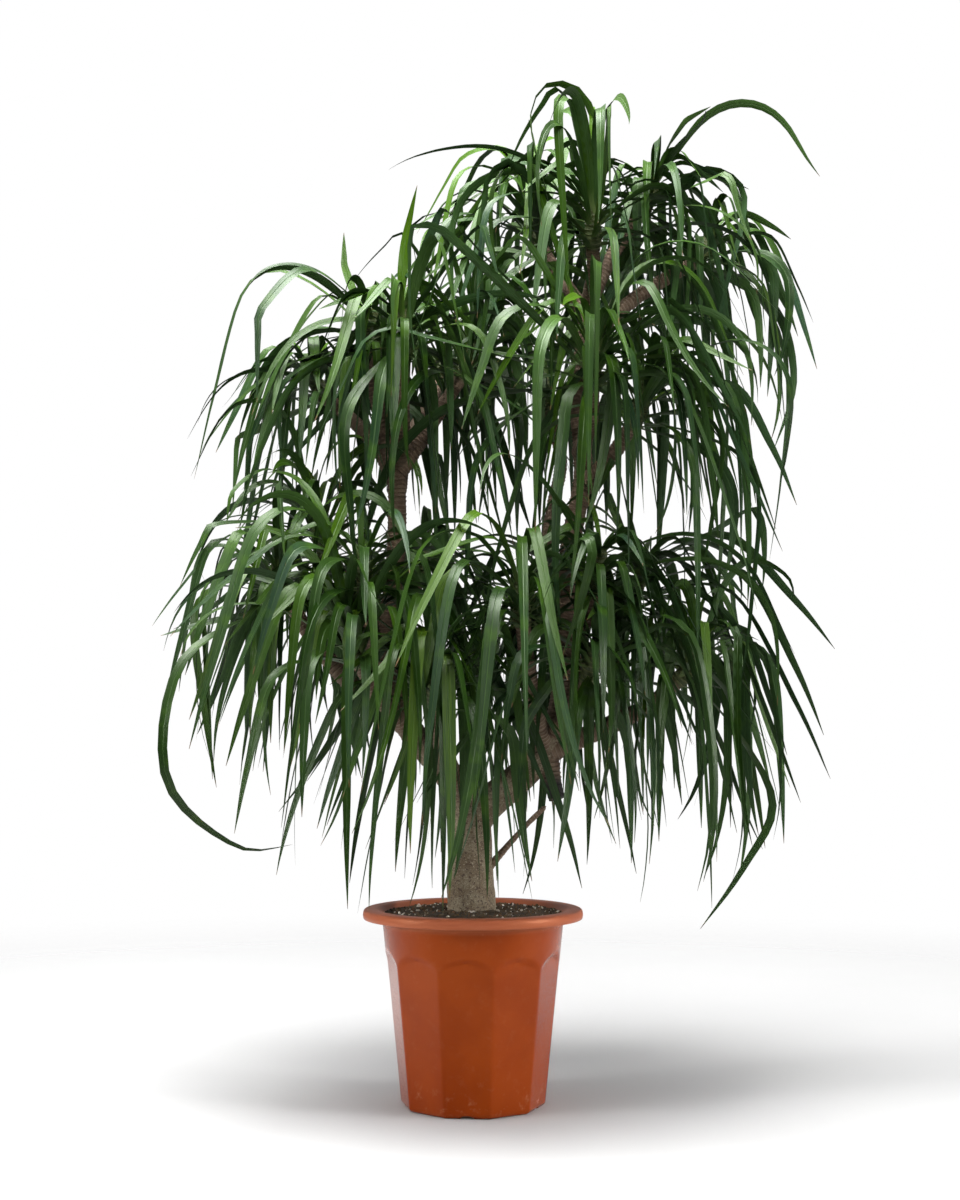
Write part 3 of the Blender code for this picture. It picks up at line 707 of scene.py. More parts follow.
# %% [markdown]
# ## The soil
#
# Potting soil fills the pot almost to its lip. From above it is dark brown crumbs of all sizes,
# bits of bark, and pale grains of perlite. A smooth lathe shape carries it, with a lumpy top. Two
# geometry trees then scatter grains over the top: they share one recipe, with other numbers.

# %% The body of the soil
SOIL_GAP = 0.0004
SOIL_EDGE = 0.2920
SOIL_HEAP = 0.004
SOIL_LUMPS = 0.0035
LUMPS_TO_A_METRE = 45
# How soon the heap and its lumps rise from nothing at the edge; more is sooner
HEAP_RISE = 2.2
LUMPS_RISE = 12
SOIL_RINGS = 26
SOIL_AROUND = 120
# Heights of the rows up the side
SOIL_SIDES = (BASE_THICKNESS + SOIL_GAP, 0.08, 0.15, 0.20, 0.215, 0.225, 0.232, 0.24, 0.26)


def soil_row(radius, z, lumps=0.0):
    row = faceted_row(radius, z, SOIL_AROUND)
    for at in row:
        at.z += lumps * noise.fractal(at * LUMPS_TO_A_METRE, 1.0, 2.0, 4)
    return row


def make_soil():
    inset = WALL + SOIL_GAP
    rows = [soil_row(cone_radius(z) - inset, z) for z in SOIL_SIDES]
    edge = cone_radius(SOIL_EDGE) - inset
    for k in range(SOIL_RINGS):
        share = 1 - k / SOIL_RINGS
        heap = SOIL_HEAP * smoothstep((1 - share) * HEAP_RISE)
        lumps = SOIL_LUMPS * smoothstep((1 - share) * LUMPS_RISE)
        rows.append(soil_row(edge * share, SOIL_EDGE + heap, lumps))
    return object_of_rows("soil_body", rows)


soil = make_soil()
print("The soil's top is a lumpy disc", round(2000 * (cone_radius(SOIL_EDGE) - WALL)), "mm across")

# %% [markdown]
# The scatter tree puts an angular grain on each random point of the soil's top, turns it freely and
# scales it differently along its three axes, so that some grains are flakes and some are sticks.
# After the copies are made real, a noise dents them, so that no two are alike. Each grain keeps a
# random number, which its finish turns into a shade.

# %% The scatter tree
GRAIN_SIZES = {
    "Density": 1.0, "Smallest": 0.001, "Largest": 0.003, "Roundness": 1, "Dents": 0.0005, "Seed": 0}
FACING_UP = 0.5
SHORTEST_AXES = (0.5, 0.5, 0.4)
LONGEST_AXES = (1.4, 1.0, 0.9)
FULL_TURN = (math.tau, math.tau, math.tau)
DENTS_TO_A_METRE = 600.0


def random_value(start, kind, low, high, seed):
    values = {"Min": low, "Max": high, "Seed": seed}
    return start.node("FunctionNodeRandomValue", {"data_type": kind}, values)


def compared(value, operation, other):
    return value.node("FunctionNodeCompare", {"operation": operation}, {"A": value, "B": other})


def grain_tree():
    tree, inputs, close = new_tree("scattered_grains", GRAIN_SIZES)
    shape = inputs["Shape"]
    facing = part_of(shape.node("GeometryNodeInputNormal"), "Z")
    points = shape.node("GeometryNodeDistributePointsOnFaces", None, {
        "Mesh": shape, "Selection": compared(facing, "GREATER_THAN", FACING_UP),
        "Density": inputs["Density"], "Seed": inputs["Seed"]})
    grain = shape.node("GeometryNodeMeshIcoSphere", None, {
        "Radius": 0.5, "Subdivisions": inputs["Roundness"]})
    share = random_value(shape, "FLOAT", 0.0, 1.0, 1) ** 3
    size = inputs["Smallest"] + (inputs["Largest"] - inputs["Smallest"]) * share
    stretch = scaled(random_value(shape, "FLOAT_VECTOR", SHORTEST_AXES, LONGEST_AXES, 2), size)
    turn = random_value(shape, "FLOAT_VECTOR", (0, 0, 0), FULL_TURN, 3)
    copies = shape.node("GeometryNodeInstanceOnPoints", None, {
        "Points": points, "Instance": grain, "Rotation": turn, "Scale": stretch})
    copies = stored(copies, "shade", random_value(shape, "FLOAT", 0.0, 1.0, 4), domain="INSTANCE")
    solid = shape.node("GeometryNodeRealizeInstances", None, {0: copies})
    dent = noise_on_shape(shape, DENTS_TO_A_METRE, 1.0, take="Color")
    centred = shape.node("ShaderNodeVectorMath", {"operation": "SUBTRACT"}, {0: dent, 1: (0.5, 0.5, 0.5)})
    close(shifted(solid, scaled(centred, inputs["Dents"])))
    return tree


scatter = grain_tree()
print("The scatter tree has inputs", ", ".join(GRAIN_SIZES))

# %% [markdown]
# Wet peat is nearly black, dry crumbs are a warmer brown, and slivers of bark are reddish. The shade
# that each grain carries picks its place between them. Perlite is a dull white glass foam, a little
# stained by the soil around it.

# %% The soil's finishes
CRUMB_BROWNS = (colour(0.018, 0.010, 0.003), colour(0.140, 0.080, 0.026))
DAMP_GROUND = colour(0.060, 0.037, 0.016)
RED_SLIVER = colour(0.110, 0.050, 0.022)
PERLITE_WHITES = (colour(0.50, 0.44, 0.34), colour(0.78, 0.74, 0.66))
SOIL_STAIN = colour(0.16, 0.11, 0.075)


def earth_finish():
    finish, start, set_sockets = new_finish("earth")
    place = object_place(start)
    shade_of_grain = painted(start, "shade")
    patches = cloudy(place, 70, 4)
    body = layered(
        mixed(shade_of_grain ** 1.6, *CRUMB_BROWNS),
        (step_between(patches, 0.4, 0.65), DAMP_GROUND),
        (step_between(shade_of_grain, 0.90, 0.93), RED_SLIVER))
    set_sockets(
        Base_Color=body, Roughness=0.80 + 0.15 * patches, Normal=bumped(cloudy(place, 900, 3), 0.0008))
    return finish


def perlite_finish():
    finish, start, set_sockets = new_finish("perlite")
    place = object_place(start)
    stain = step_between(cloudy(place, 220, 3), 0.42, 0.66)
    clean = mixed(painted(start, "shade"), *PERLITE_WHITES)
    set_sockets(
        Base_Color=mixed(0.55 * stain, clean, SOIL_STAIN), Roughness=0.85,
        Normal=bumped(cloudy(place, 1100, 2), 0.0006))
    return finish


earth = earth_finish()
perlite = perlite_finish()
print("Two finishes for the soil:", earth.name, "and", perlite.name)

# %% [markdown]
# The same tree runs twice on a copy of the soil, once for about 2,600 crumbs and once for about 170
# grains of perlite, which are larger and rounder. The soil, the crumbs and the perlite all stand for
# the one solid of the soil.

# %% The soil with its crumbs and perlite
CRUMBS = {
    "Density": 42000.0, "Smallest": 0.0016, "Largest": 0.0072, "Roundness": 1, "Dents": 0.0016, "Seed": 4}
PERLITE = {
    "Density": 2400.0, "Smallest": 0.0030, "Largest": 0.0090, "Roundness": 2, "Dents": 0.0014, "Seed": 9}


def scattered(name, finish, values):
    """The grains alone, on the soil's top."""
    made = link(bpy.data.objects.new(name, soil.data.copy()))
    run_tree(made, scatter, finish, values)
    return made


crumbs = scattered("soil_crumbs", earth, CRUMBS)
grains = scattered("perlite_grains", perlite, PERLITE)
soil.data.materials.append(earth)
shade(soil)
for piece in (soil, crumbs, grains):
    dress(piece, "potting_soil", "soil")

# %% [markdown]
# ## The wood
#
# The plant is one trunk that forks into two main limbs, and each limb forks again until it ends in a
# leafy stem. The trunk is covered with corky, granular bark. Higher up the wood is younger and redder,
# and ringed by the scars of fallen leaves, one every few millimetres. All of it follows centre lines,
# so one geometry tree makes every limb from a row of points and the radius at each.

# %% The centre line and the radii of each limb
Limb = namedtuple("Limb", "name radii points")
TRUNK = Limb("trunk", (0.0300, 0.0375, 0.0345, 0.0315, 0.0200), [
    (-0.002, 0, 0.16), (-0.002, 0, 0.288), (-0.005, 0, 0.372), (-0.005, 0, 0.449), (-0.003, 0, 0.512),
])
LIMBS = [
    Limb("left", (0.0220, 0.0215, 0.0200, 0.0180, 0.0160, 0.0145, 0.0135), [
        (-0.002, 0, 0.455), (-0.051, 0, 0.519), (-0.099, 0.01, 0.576), (-0.127, 0.02, 0.651),
        (-0.131, 0.03, 0.746), (-0.121, 0.03, 0.873), (-0.122, 0.02, 1.003)]),
    Limb("right", (
        0.0260, 0.0245, 0.0220, 0.0190, 0.0175, 0.0165,
        0.0155, 0.0145, 0.0130, 0.0120, 0.0115), [
        (-0.004, 0, 0.44), (0.057, -0.01, 0.488), (0.111, -0.01, 0.542), (0.139, 0, 0.62),
        (0.139, 0.01, 0.714), (0.146, 0.02, 0.809), (0.158, 0.02, 0.888), (0.174, 0.02, 0.983),
        (0.167, 0.03, 1.097), (0.178, 0.03, 1.21), (0.188, 0.025, 1.275)]),
    Limb("left_a", (0.0110, 0.0112, 0.0108, 0.0105), [
        (-0.122, 0.02, 0.99), (-0.141, 0.01, 1.046), (-0.155, 0, 1.108), (-0.157, -0.004, 1.155)]),
    Limb("left_b", (0.0110, 0.0115, 0.0112, 0.0108), [
        (-0.122, 0.02, 0.99), (-0.111, -0.02, 1.035), (-0.11, -0.066, 1.088), (-0.108, -0.094, 1.135)]),
    Limb("left_c", (0.0115, 0.0120, 0.0112, 0.0108), [
        (-0.12, 0.02, 0.98), (-0.086, 0.03, 1.028), (-0.05, 0.037, 1.086), (-0.028, 0.043, 1.122)]),
    Limb("left_d", (0.0110, 0.0115, 0.0110, 0.0105), [
        (-0.122, 0.024, 0.965), (-0.158, 0.04, 1.03), (-0.202, 0.058, 1.076), (-0.226, 0.066, 1.098)]),
    Limb("left_back", (0.0115, 0.0120, 0.0112, 0.0108), [
        (-0.122, 0.025, 0.95), (-0.103, 0.1, 1.044), (-0.073, 0.207, 1.123), (-0.063, 0.255, 1.165)]),
    Limb("low_left_a", (0.0125, 0.0122, 0.0110), [
        (-0.125, 0.02, 0.64), (-0.15, -0.052, 0.708), (-0.158, -0.086, 0.76)]),
    Limb("low_left_b", (0.0150, 0.0135, 0.0122, 0.0110), [
        (-0.095, 0.01, 0.575), (-0.185, 0, 0.64), (-0.245, 0, 0.708), (-0.278, 0, 0.758)]),
    Limb("low_left_c", (0.0125, 0.0122, 0.0110), [
        (-0.13, 0.03, 0.7), (-0.11, 0.096, 0.763), (-0.096, 0.13, 0.804)]),
    Limb("low_left_d", (0.0120, 0.0120, 0.0108), [
        (-0.131, 0.03, 0.725), (-0.185, 0.05, 0.785), (-0.222, 0.055, 0.835)]),
    Limb("low_left_e", (0.0125, 0.0122, 0.0108), [
        (-0.08, 0.006, 0.555), (-0.138, -0.07, 0.618), (-0.165, -0.112, 0.665)]),
    Limb("low_back_left", (0.0130, 0.0125, 0.0110), [
        (-0.115, 0.015, 0.61), (-0.159, 0.142, 0.693), (-0.192, 0.242, 0.753)]),
    Limb("top_a", (0.0105, 0.0108, 0.0105), [
        (0.186, 0.027, 1.255), (0.19, -0.008, 1.286), (0.188, -0.034, 1.318)]),
    Limb("top_b", (0.0105, 0.0110, 0.0105), [
        (0.184, 0.027, 1.255), (0.228, 0.048, 1.342), (0.264, 0.056, 1.396)]),
    Limb("top_c", (0.0105, 0.0110, 0.0105), [
        (0.181, 0.03, 1.235), (0.14, 0.082, 1.312), (0.118, 0.104, 1.352)]),
    Limb("top_d", (0.0110, 0.0115, 0.0105), [
        (0.177, 0.03, 1.195), (0.268, 0.088, 1.278), (0.348, 0.118, 1.333)]),
    Limb("back_right", (0.0115, 0.0115, 0.0105), [
        (0.169, 0.03, 1.12), (0.208, 0.162, 1.221), (0.235, 0.243, 1.276)]),
    Limb("middle_a", (0.0120, 0.0125, 0.0108), [
        (0.172, 0.02, 0.955), (0.213, -0.025, 0.995), (0.239, -0.057, 1.033)]),
    Limb("middle_b", (0.0110, 0.0112, 0.0105), [
        (0.171, 0.022, 1.01), (0.18, -0.069, 1.048), (0.18, -0.121, 1.081)]),
    Limb("middle_c", (0.0105, 0.0100, 0.0100, 0.0105), [
        (0.137, 0.008, 0.7), (0.119, 0.05, 0.867), (0.142, 0.096, 1.005), (0.129, 0.12, 1.078)]),
    Limb("low_right_a", (0.0125, 0.0122, 0.0108), [
        (0.139, 0, 0.66), (0.168, -0.079, 0.736), (0.179, -0.117, 0.775)]),
    Limb("low_right_b", (0.0130, 0.0125, 0.0108), [
        (0.138, 0, 0.63), (0.2, 0.018, 0.712), (0.236, 0.02, 0.762)]),
    Limb("low_right_c", (0.0160, 0.0140, 0.0125, 0.0110), [
        (0.105, -0.008, 0.535), (0.205, -0.02, 0.578), (0.272, -0.035, 0.612), (0.304, -0.04, 0.64)]),
    Limb("low_right_d", (0.0125, 0.0122, 0.0108), [
        (0.118, -0.004, 0.565), (0.15, -0.078, 0.602), (0.166, -0.118, 0.64)]),
    Limb("low_middle_b", (0.0135, 0.0125, 0.0110), [
        (0.109, -0.008, 0.54), (0.086, -0.101, 0.642), (0.076, -0.142, 0.718)]),
    Limb("low_middle_a", (0.0130, 0.0122, 0.0110), [
        (-0.018, 0, 0.48), (-0.048, -0.087, 0.553), (-0.054, -0.123, 0.6)]),
    Limb("low_back_right", (0.0130, 0.0125, 0.0110), [
        (0.137, 0, 0.6), (0.14, 0.142, 0.677), (0.131, 0.24, 0.724)]),
    # A sawn-off side limb, a bud on the trunk and a thin shoot
    Limb("stub", (0.0150, 0.0125), [
        (0.112, -0.008, 0.535), (0.129, -0.025, 0.468)]),
    Limb("bud", (0.0100, 0.0070), [
        (-0.012, -0.005, 0.475), (-0.038, -0.032, 0.503)]),
    Limb("shoot", (0.0050, 0.0045, 0.0035), [
        (0.015, 0, 0.35), (0.074, -0.01, 0.418), (0.108, -0.018, 0.452)]),
]

print(len(LIMBS), "limbs grow from the trunk")

# %% [markdown]
# Each crown's leaves grow from a leafy stem at the end of the limb of the same name. The stem goes on
# in the limb's direction and bends a little more upwards, towards the light, at each step.
#
# The table also describes each crown's loose leaves: how long a leaf is, how soon it hangs, and how
# steeply the oldest one rises. The row of numbers after that has one draw for each leaf. Every leaf
# was drawn at random 1,200 times. The draw was kept that covers most of what the leaves cover in the
# photograph and least of the gaps between them.

# %% The leafy stems
STEM_GAP = 0.0003
STEM_LENGTH = 0.082
STEM_STEPS = 5
STEM_RADII = (0.0112, 0.0128, 0.0125, 0.0118, 0.0105, 0.0070)
STEM_LIFT = Vector((0, 0, 0.25))

Crown = namedtuple("Crown", "name reach droop lift draws")
CROWNS = [
    Crown("top_a", 0.53, 0.64, 10, (
        1078, 527, 867, 551, 231, 70, 17, 198, 562, 370,
        140, 951, 235, 1117, 1197, 13, 553, 450, 504, 308)),
    Crown("top_b", 0.38, 0.66, -20, (
        804, 1, 688, 15, 2, 356, 9, 2, 948, 237, 219, 1043, 740, 162, 690, 614, 1065, 996, 559, 1083)),
    Crown("top_c", 0.43, 0.40, 12, (
        3, 3, 97, 470, 228, 5, 9, 345, 2, 236, 329, 950, 660, 639, 59, 552, 600, 155, 768, 21)),
    Crown("top_d", 0.38, 0.46, -12, (
        213, 17, 123, 31, 4, 322, 14, 95, 1072, 2, 377, 62, 563, 1181, 353, 870, 731, 10, 199, 926)),
    Crown("left_a", 0.38, 0.92, -12, (
        107, 896, 842, 802, 954, 11, 861, 198, 71, 132, 6, 1, 41, 10, 822, 1028, 10, 1022, 936, 16)),
    Crown("left_b", 0.40, 0.40, -14, (
        505, 478, 1073, 474, 980, 844, 800, 9, 926, 94, 350, 470, 28, 1033, 1, 438, 101, 986, 559, 1)),
    Crown("left_c", 0.47, 0.89, -2, (
        604, 785, 8, 807, 769, 1144, 145, 367, 426, 30, 1, 574, 802, 41, 370, 195, 582, 626, 2, 1)),
    Crown("left_d", 0.38, 0.80, -20, (
        412, 541, 852, 415, 122, 987, 862, 76, 70, 985, 101, 12, 81, 757, 4, 81, 1, 42, 3, 17)),
    Crown("left_back", 0.38, 0.94, 2, (
        562, 579, 539, 376, 191, 15, 4, 1, 1, 2, 10, 28)),
    Crown("back_right", 0.39, 0.62, -14, (
        1170, 170, 109, 252, 25, 622, 1, 1, 919, 1, 1, 1)),
    Crown("middle_a", 0.53, 0.46, -5, (
        241, 1169, 670, 1031, 60, 979, 267, 644, 93, 144,
        214, 1125, 361, 22, 994, 1128, 47, 175, 660, 453)),
    Crown("middle_b", 0.55, 0.56, 11, (
        547, 1050, 1128, 103, 1046, 428, 510, 1186, 973, 638,
        1116, 23, 17, 934, 657, 189, 340, 3, 287, 1)),
    Crown("middle_c", 0.48, 0.95, -9, (
        1169, 42, 773, 258, 558, 984, 1148, 23, 1189, 2, 111, 159)),
    Crown("low_left_a", 0.47, 0.47, -20, (
        830, 1113, 510, 543, 927, 257, 595, 898, 741, 612, 191, 990, 129, 21, 500, 2, 17, 522, 325, 5)),
    Crown("low_left_b", 0.38, 0.52, 4, (
        8, 1120, 311, 396, 562, 10, 374, 799, 2, 611, 120, 23, 187, 848, 1133, 513, 3, 790, 1, 39)),
    Crown("low_left_c", 0.40, 0.59, -13, (
        2, 616, 2, 329, 851, 422, 1, 6, 256, 964, 119, 2)),
    Crown("low_left_d", 0.38, 0.95, 13, (
        25, 166, 7, 5, 221, 1162, 3, 174, 697, 1173,
        841, 1028, 1058, 700, 775, 966, 194, 136, 1177, 486)),
    Crown("low_left_e", 0.38, 0.84, 13, (
        365, 665, 493, 1057, 783, 7, 4, 767, 13, 254, 849, 1, 794, 1176, 135, 1120, 1, 657, 1, 714)),
    Crown("low_back_left", 0.38, 0.68, 6, (
        1, 368, 210, 5, 477, 2, 1156, 492, 480, 548, 6, 3)),
    Crown("low_right_a", 0.38, 0.95, -19, (
        854, 97, 814, 5, 8, 676, 1, 1, 394, 680, 20, 7, 679, 1190, 16, 55, 877, 165, 518, 312)),
    Crown("low_right_b", 0.38, 0.62, -9, (
        1137, 416, 1, 241, 62, 529, 1, 2, 179, 1, 9, 2, 424, 878, 41, 100, 438, 449, 223, 955)),
    Crown("low_right_c", 0.38, 0.41, 14, (
        955, 491, 64, 71, 147, 941, 1047, 190, 813, 181, 916, 58, 2, 712, 536, 982, 1106, 2, 121, 62)),
    Crown("low_right_d", 0.50, 0.50, -7, (
        1108, 636, 360, 55, 1151, 258, 194, 849, 842, 160, 442, 234, 19, 245, 361, 1, 819, 1, 1116, 1)),
    Crown("low_back_right", 0.46, 0.40, -12, (
        225, 399, 817, 609, 223, 1074, 3, 467, 316, 98, 1, 66)),
    Crown("low_middle_a", 0.57, 0.40, -4, (
        140, 437, 745, 658, 947, 270, 1145, 1040, 698, 834,
        843, 28, 770, 1065, 516, 89, 408, 917, 115, 2)),
    Crown("low_middle_b", 0.51, 0.40, -20, (
        989, 638, 449, 254, 856, 235, 550, 1141, 676, 103,
        671, 1016, 596, 597, 34, 1077, 1090, 723, 1, 545)),
]


def stem_line(limb):
    """The centre line of the leafy stem at a limb's end."""
    last, before = Vector(limb.points[-1]), Vector(limb.points[-2])
    ahead = (last - before).normalized()
    line = [last + ahead * STEM_GAP]
    for _ in range(STEM_STEPS):
        line.append(line[-1] + ahead * STEM_LENGTH / STEM_STEPS)
        ahead = (ahead + STEM_LIFT).normalized()
    return line


limb_of = {limb.name: limb for limb in LIMBS}
stems = {crown.name: stem_line(limb_of[crown.name]) for crown in CROWNS}
print(len(stems), "leafy stems, each", STEM_LENGTH, "m long")

# %% [markdown]
# The limb tree smooths a row of points into a curve, widens the curve into a collar where the limb
# leaves its parent, and raises a low ridge at each leaf scar. Two noises then make the wood lumpy and
# rough. The distance from the limb's base is kept for the finish, which draws the same scars.

# %% The limb tree
SCAR_SPACING = 0.0068
LIMB_SIZES = {
    "Step": 0.0017, "Sides": 20, "Collar": 0.35, "Collar length": 0.03, "Ridge": 0.10,
    "Lumps": 0.004, "Roughness": 0.0012}
# How far a scar strays from its place, as a share of the spacing
UNEVEN_SCARS = 0.3
# Lumps to a metre of the noise that shifts the scars, and of the two that shape the wood
SCARS_NOISE = 60.0
WIDE_NOISE = 22.0
FINE_NOISE = 160.0


def ridge_at(length, unevenness):
    """0 between two leaf scars, rising sharply to 1 at each."""
    return (length / SCAR_SPACING + unevenness).math("FRACT") ** 5


def smooth_curves(lines, mode, amount):
    """Smooth curves through lines of points, divided anew by a Length or into a Count."""
    curves = lines.node("GeometryNodeMeshToCurve", None, {"Mesh": lines})
    curves = lines.node("GeometryNodeCurveSplineType", {"spline_type": "CATMULL_ROM"}, {"Curve": curves})
    settings = {"mode": mode.upper()}
    return lines.node("GeometryNodeResampleCurve", settings, {"Curve": curves, mode: amount})


def polygon(start, corners):
    """A regular polygon of radius 1, to be swept along a curve."""
    values = {"Resolution": corners, "Radius": 1.0}
    return start.node("GeometryNodeCurvePrimitiveCircle", {"mode": "RADIUS"}, values)


def swept(curves, profile, size):
    """The solid that a profile leaves along a curve, grown by a size at each point."""
    values = {"Curve": curves, "Profile Curve": profile, "Scale": size, "Fill Caps": True}
    return curves.node("GeometryNodeCurveToMesh", None, values)


def noise_offset(start, scale, depth):
    """A shift along the surface's normal by a noise."""
    lump = noise_on_shape(start, scale, 3.0) - 0.5
    return scaled(start.node("GeometryNodeInputNormal"), lump * depth)


def limb_tree():
    tree, inputs, close = new_tree("limbs", LIMB_SIZES)
    start = inputs["Shape"]
    length = start.node("GeometryNodeSplineParameter", take="Length")
    curves = stored(smooth_curves(start, "Length", inputs["Step"]), "from_base", length)
    collar = 1 + inputs["Collar"] * (-1 * (length / inputs["Collar length"]) ** 2).math("EXPONENT")
    scar = ridge_at(length, UNEVEN_SCARS * noise_on_shape(start, SCARS_NOISE, 2.0))
    swelling = 1 + inputs["Ridge"] * scar * read_back(start, "young").math("MINIMUM", 1)
    girth = read_back(start, "girth") * collar * swelling
    wood = swept(curves, polygon(start, inputs["Sides"]), girth)
    wood = shifted(wood, noise_offset(start, WIDE_NOISE, inputs["Lumps"]))
    close(shifted(wood, noise_offset(start, FINE_NOISE, inputs["Roughness"])))
    return tree


limbs_from_lines = limb_tree()
print("The limb tree has inputs", ", ".join(LIMB_SIZES))

# %% [markdown]
# Old bark is grey-brown with pale grains of cork, young wood is reddish brown with a pale line under
# each scar, and the leafy stems are green. One number, stored as young, blends the three: 0 on the
# trunk, 1 on a limb and 2 on a leafy stem. A second number marks the sawn end of the cut limb, which
# is painted near black as painted shade.

# %% The bark's finish
OLD_BARK = (colour(0.118, 0.084, 0.047), colour(0.188, 0.150, 0.094))
BARK_PIT = colour(0.060, 0.036, 0.024)
CORK_GRAIN = colour(0.33, 0.28, 0.19)
YOUNG_BARK = (colour(0.100, 0.060, 0.035), colour(0.160, 0.108, 0.068))
LEAF_SCAR = colour(0.300, 0.230, 0.160)
STEM_GREENS = (colour(0.050, 0.070, 0.016), colour(0.180, 0.190, 0.070))
CUT_END_SHADE = colour(0.012, 0.010, 0.008)


def bark_finish():
    finish, start, set_sockets = new_finish("corky_bark")
    place = object_place(start)
    young = painted(start, "young")
    patches = step_between(cloudy(place, 45, 4), 0.38, 0.62)
    grains = cloudy(place, 520, 3, 0.6)
    pits = cloudy(place, 260, 4, 0.6)
    scar = ridge_at(painted(start, "from_base"), UNEVEN_SCARS * cloudy(place, SCARS_NOISE, 2))
    limb_share = step_between(young, 0.15, 0.9)
    stem_share = step_between(young, 1.1, 1.8)
    old = layered(
        mixed(patches, *OLD_BARK),
        (step_between(pits, 0.48, 0.36), BARK_PIT),
        (0.8 * step_between(grains, 0.56, 0.64), CORK_GRAIN))
    limb = mixed(0.8 * scar, mixed(patches, *YOUNG_BARK), LEAF_SCAR)
    # Painted shade: the sawn end of the cut limb is painted near black.
    sawn = step_between(painted(start, "sawn"), 0.35, 0.75)
    body = layered(old, (limb_share, limb), (stem_share, mixed(scar, *STEM_GREENS)), (sawn, CUT_END_SHADE))
    height = 0.5 * grains + 0.4 * pits + 0.7 * limb_share * scar
    set_sockets(Base_Color=body, Roughness=0.82 - 0.22 * stem_share, Normal=bumped(height, 0.0022))
    return finish


bark = bark_finish()
print("The finish", bark.name, "is ready")

# %% [markdown]
# Each limb becomes one line. A limb with a crown goes on as its leafy stem, the others end in a
# dome, and only the cut one ends flat. The trunk, the two main limbs and the thin side limbs are
# three pieces, because thick wood needs more sides than thin wood to look round.

# %% The trunk, the main limbs and the side limbs
YOUNG_GIRTH = 0.026
YOUNG_SPAN = 0.012
LEAFY = 2.0
SHARP_IN_WOOD = 50
# How far out and how wide a dome is at each step, as shares of the limb's radius
DOME = ((0.35, 0.90), (0.62, 0.66), (0.78, 0.36), (0.82, 0.04))

WoodLine = namedtuple("WoodLine", "points girth young sawn")


def age_of_wood(radius):
    """0 for old thick wood, 1 for young thin wood."""
    return smoothstep((YOUNG_GIRTH - radius) / YOUNG_SPAN)


def rounded_end(limb):
    """Points and radii of a dome over a limb's end, unless the end is sawn off flat."""
    if limb.name == "stub":
        return [], []
    last, before = Vector(limb.points[-1]), Vector(limb.points[-2])
    ahead = (last - before).normalized() * limb.radii[-1]
    return [last + ahead * far for far, _ in DOME], [limb.radii[-1] * wide for _, wide in DOME]


def line_of_limb(limb):
    """The limb's own points, and after them its leafy stem or its rounded end."""
    stem = stems.get(limb.name)
    more, narrower = (stem[1:], list(STEM_RADII[1:])) if stem else rounded_end(limb)
    points = [Vector(p) for p in limb.points] + more
    young = [age_of_wood(radius) for radius in limb.radii]
    young += [LEAFY if stem else young[-1]] * len(more)
    sawn = [float(limb.name == "stub" and i == len(points) - 1) for i in range(len(points))]
    return WoodLine(points, list(limb.radii) + narrower, young, sawn)


def make_wood(name, limbs, values):
    made = object_of_lines(name, [line_of_limb(limb) for limb in limbs])
    run_tree(made, limbs_from_lines, bark, values)
    shade(made, sharp_above=SHARP_IN_WOOD)
    dress(made, "bark", "trunk")


make_wood("trunk_wood", [TRUNK], {"Sides": 72, "Collar": 0.0, "Step": 0.0025, "Lumps": 0.006})
make_wood("main_limbs", LIMBS[:2], {"Sides": 40})
make_wood("side_limbs", LIMBS[2:], {"Sides": 20, "Lumps": 0.003})

# %% [markdown]
# ## The leaves
#
# A leaf is a strap, widest a third of the way out, with a long fine tip. It is folded a little along
# its midrib. It leaves the stem rising, bends over under its own weight and then hangs. The solids
# already hold about five hundred leaves, as plain three-sided blades, and the fine leaves follow them
# exactly. So the first step reads each blade back: it starts at a tip, where three triangles meet,
# and steps down the blade three points at a time until it reaches the stem.

# %% Read the blades of a crown
BLADE_SIDES = 3
SAME_POINT = 1e-6
ROOT_DEPTH = 0.006
BLADE_SHARE = 0.78
Leaf = namedtuple("Leaf", "points sides width")


def merged(node):
    """The node's mesh with its loose triangles joined."""
    shape = bmesh.new()
    shape.from_mesh(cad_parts[node].data)
    bmesh.ops.remove_doubles(shape, verts=shape.verts, dist=SAME_POINT)
    return shape


def rings_of_blade(tip):
    """The rings of three points from the stem to just before a blade's tip."""
    rings, known, ring = [], {tip}, {tip}
    while True:
        ring = {edge.other_vert(p) for p in ring for edge in p.link_edges} - known
        if len(ring) != BLADE_SIDES:
            return rings[::-1]
        known |= ring
        rings.append([v.co.copy() for v in ring])


def edges_and_keel(ring):
    """The two edge points of a ring, which are the farthest apart, and the keel under them."""
    turns = [(ring[i], ring[(i + 1) % 3], ring[(i + 2) % 3]) for i in range(3)]
    return max(turns, key=lambda turn: (turn[0] - turn[1]).length)


def leaf_read_from(tip):
    """The fine leaf that follows a blade of the solid."""
    foot, *rings = rings_of_blade(tip)
    stations = [edges_and_keel(ring) for ring in rings]
    root = sum(foot, Vector()) / BLADE_SIDES
    points = [root] + [(a + b) / 2 for a, b, _ in stations] + [tip.co.copy()]
    sides = []
    for k, (a, b, keel) in enumerate(stations, start=1):
        ahead = points[k + 1] - points[k - 1]
        under = (keel - points[k]).dot(ahead.cross(a - b)) < 0
        sides.append((a - b).normalized() if under else (b - a).normalized())
    inner = root - (points[1] - root).normalized() * ROOT_DEPTH
    width = BLADE_SHARE * max((a - b).length for a, b, _ in stations)
    return Leaf([inner] + points, [sides[0]] * 2 + sides + [sides[-1]], width)


def leaves_of_solid(node):
    shape = merged(node)
    tips = [v for v in shape.verts if len(v.link_faces) == BLADE_SIDES]
    leaves = [leaf_read_from(tip) for tip in tips]
    shape.free()
    return leaves


solid_leaves = {crown.name: leaves_of_solid("crown_" + crown.name) for crown in CROWNS}
print("The solids hold", sum(len(leaves) for leaves in solid_leaves.values()), "leaves")

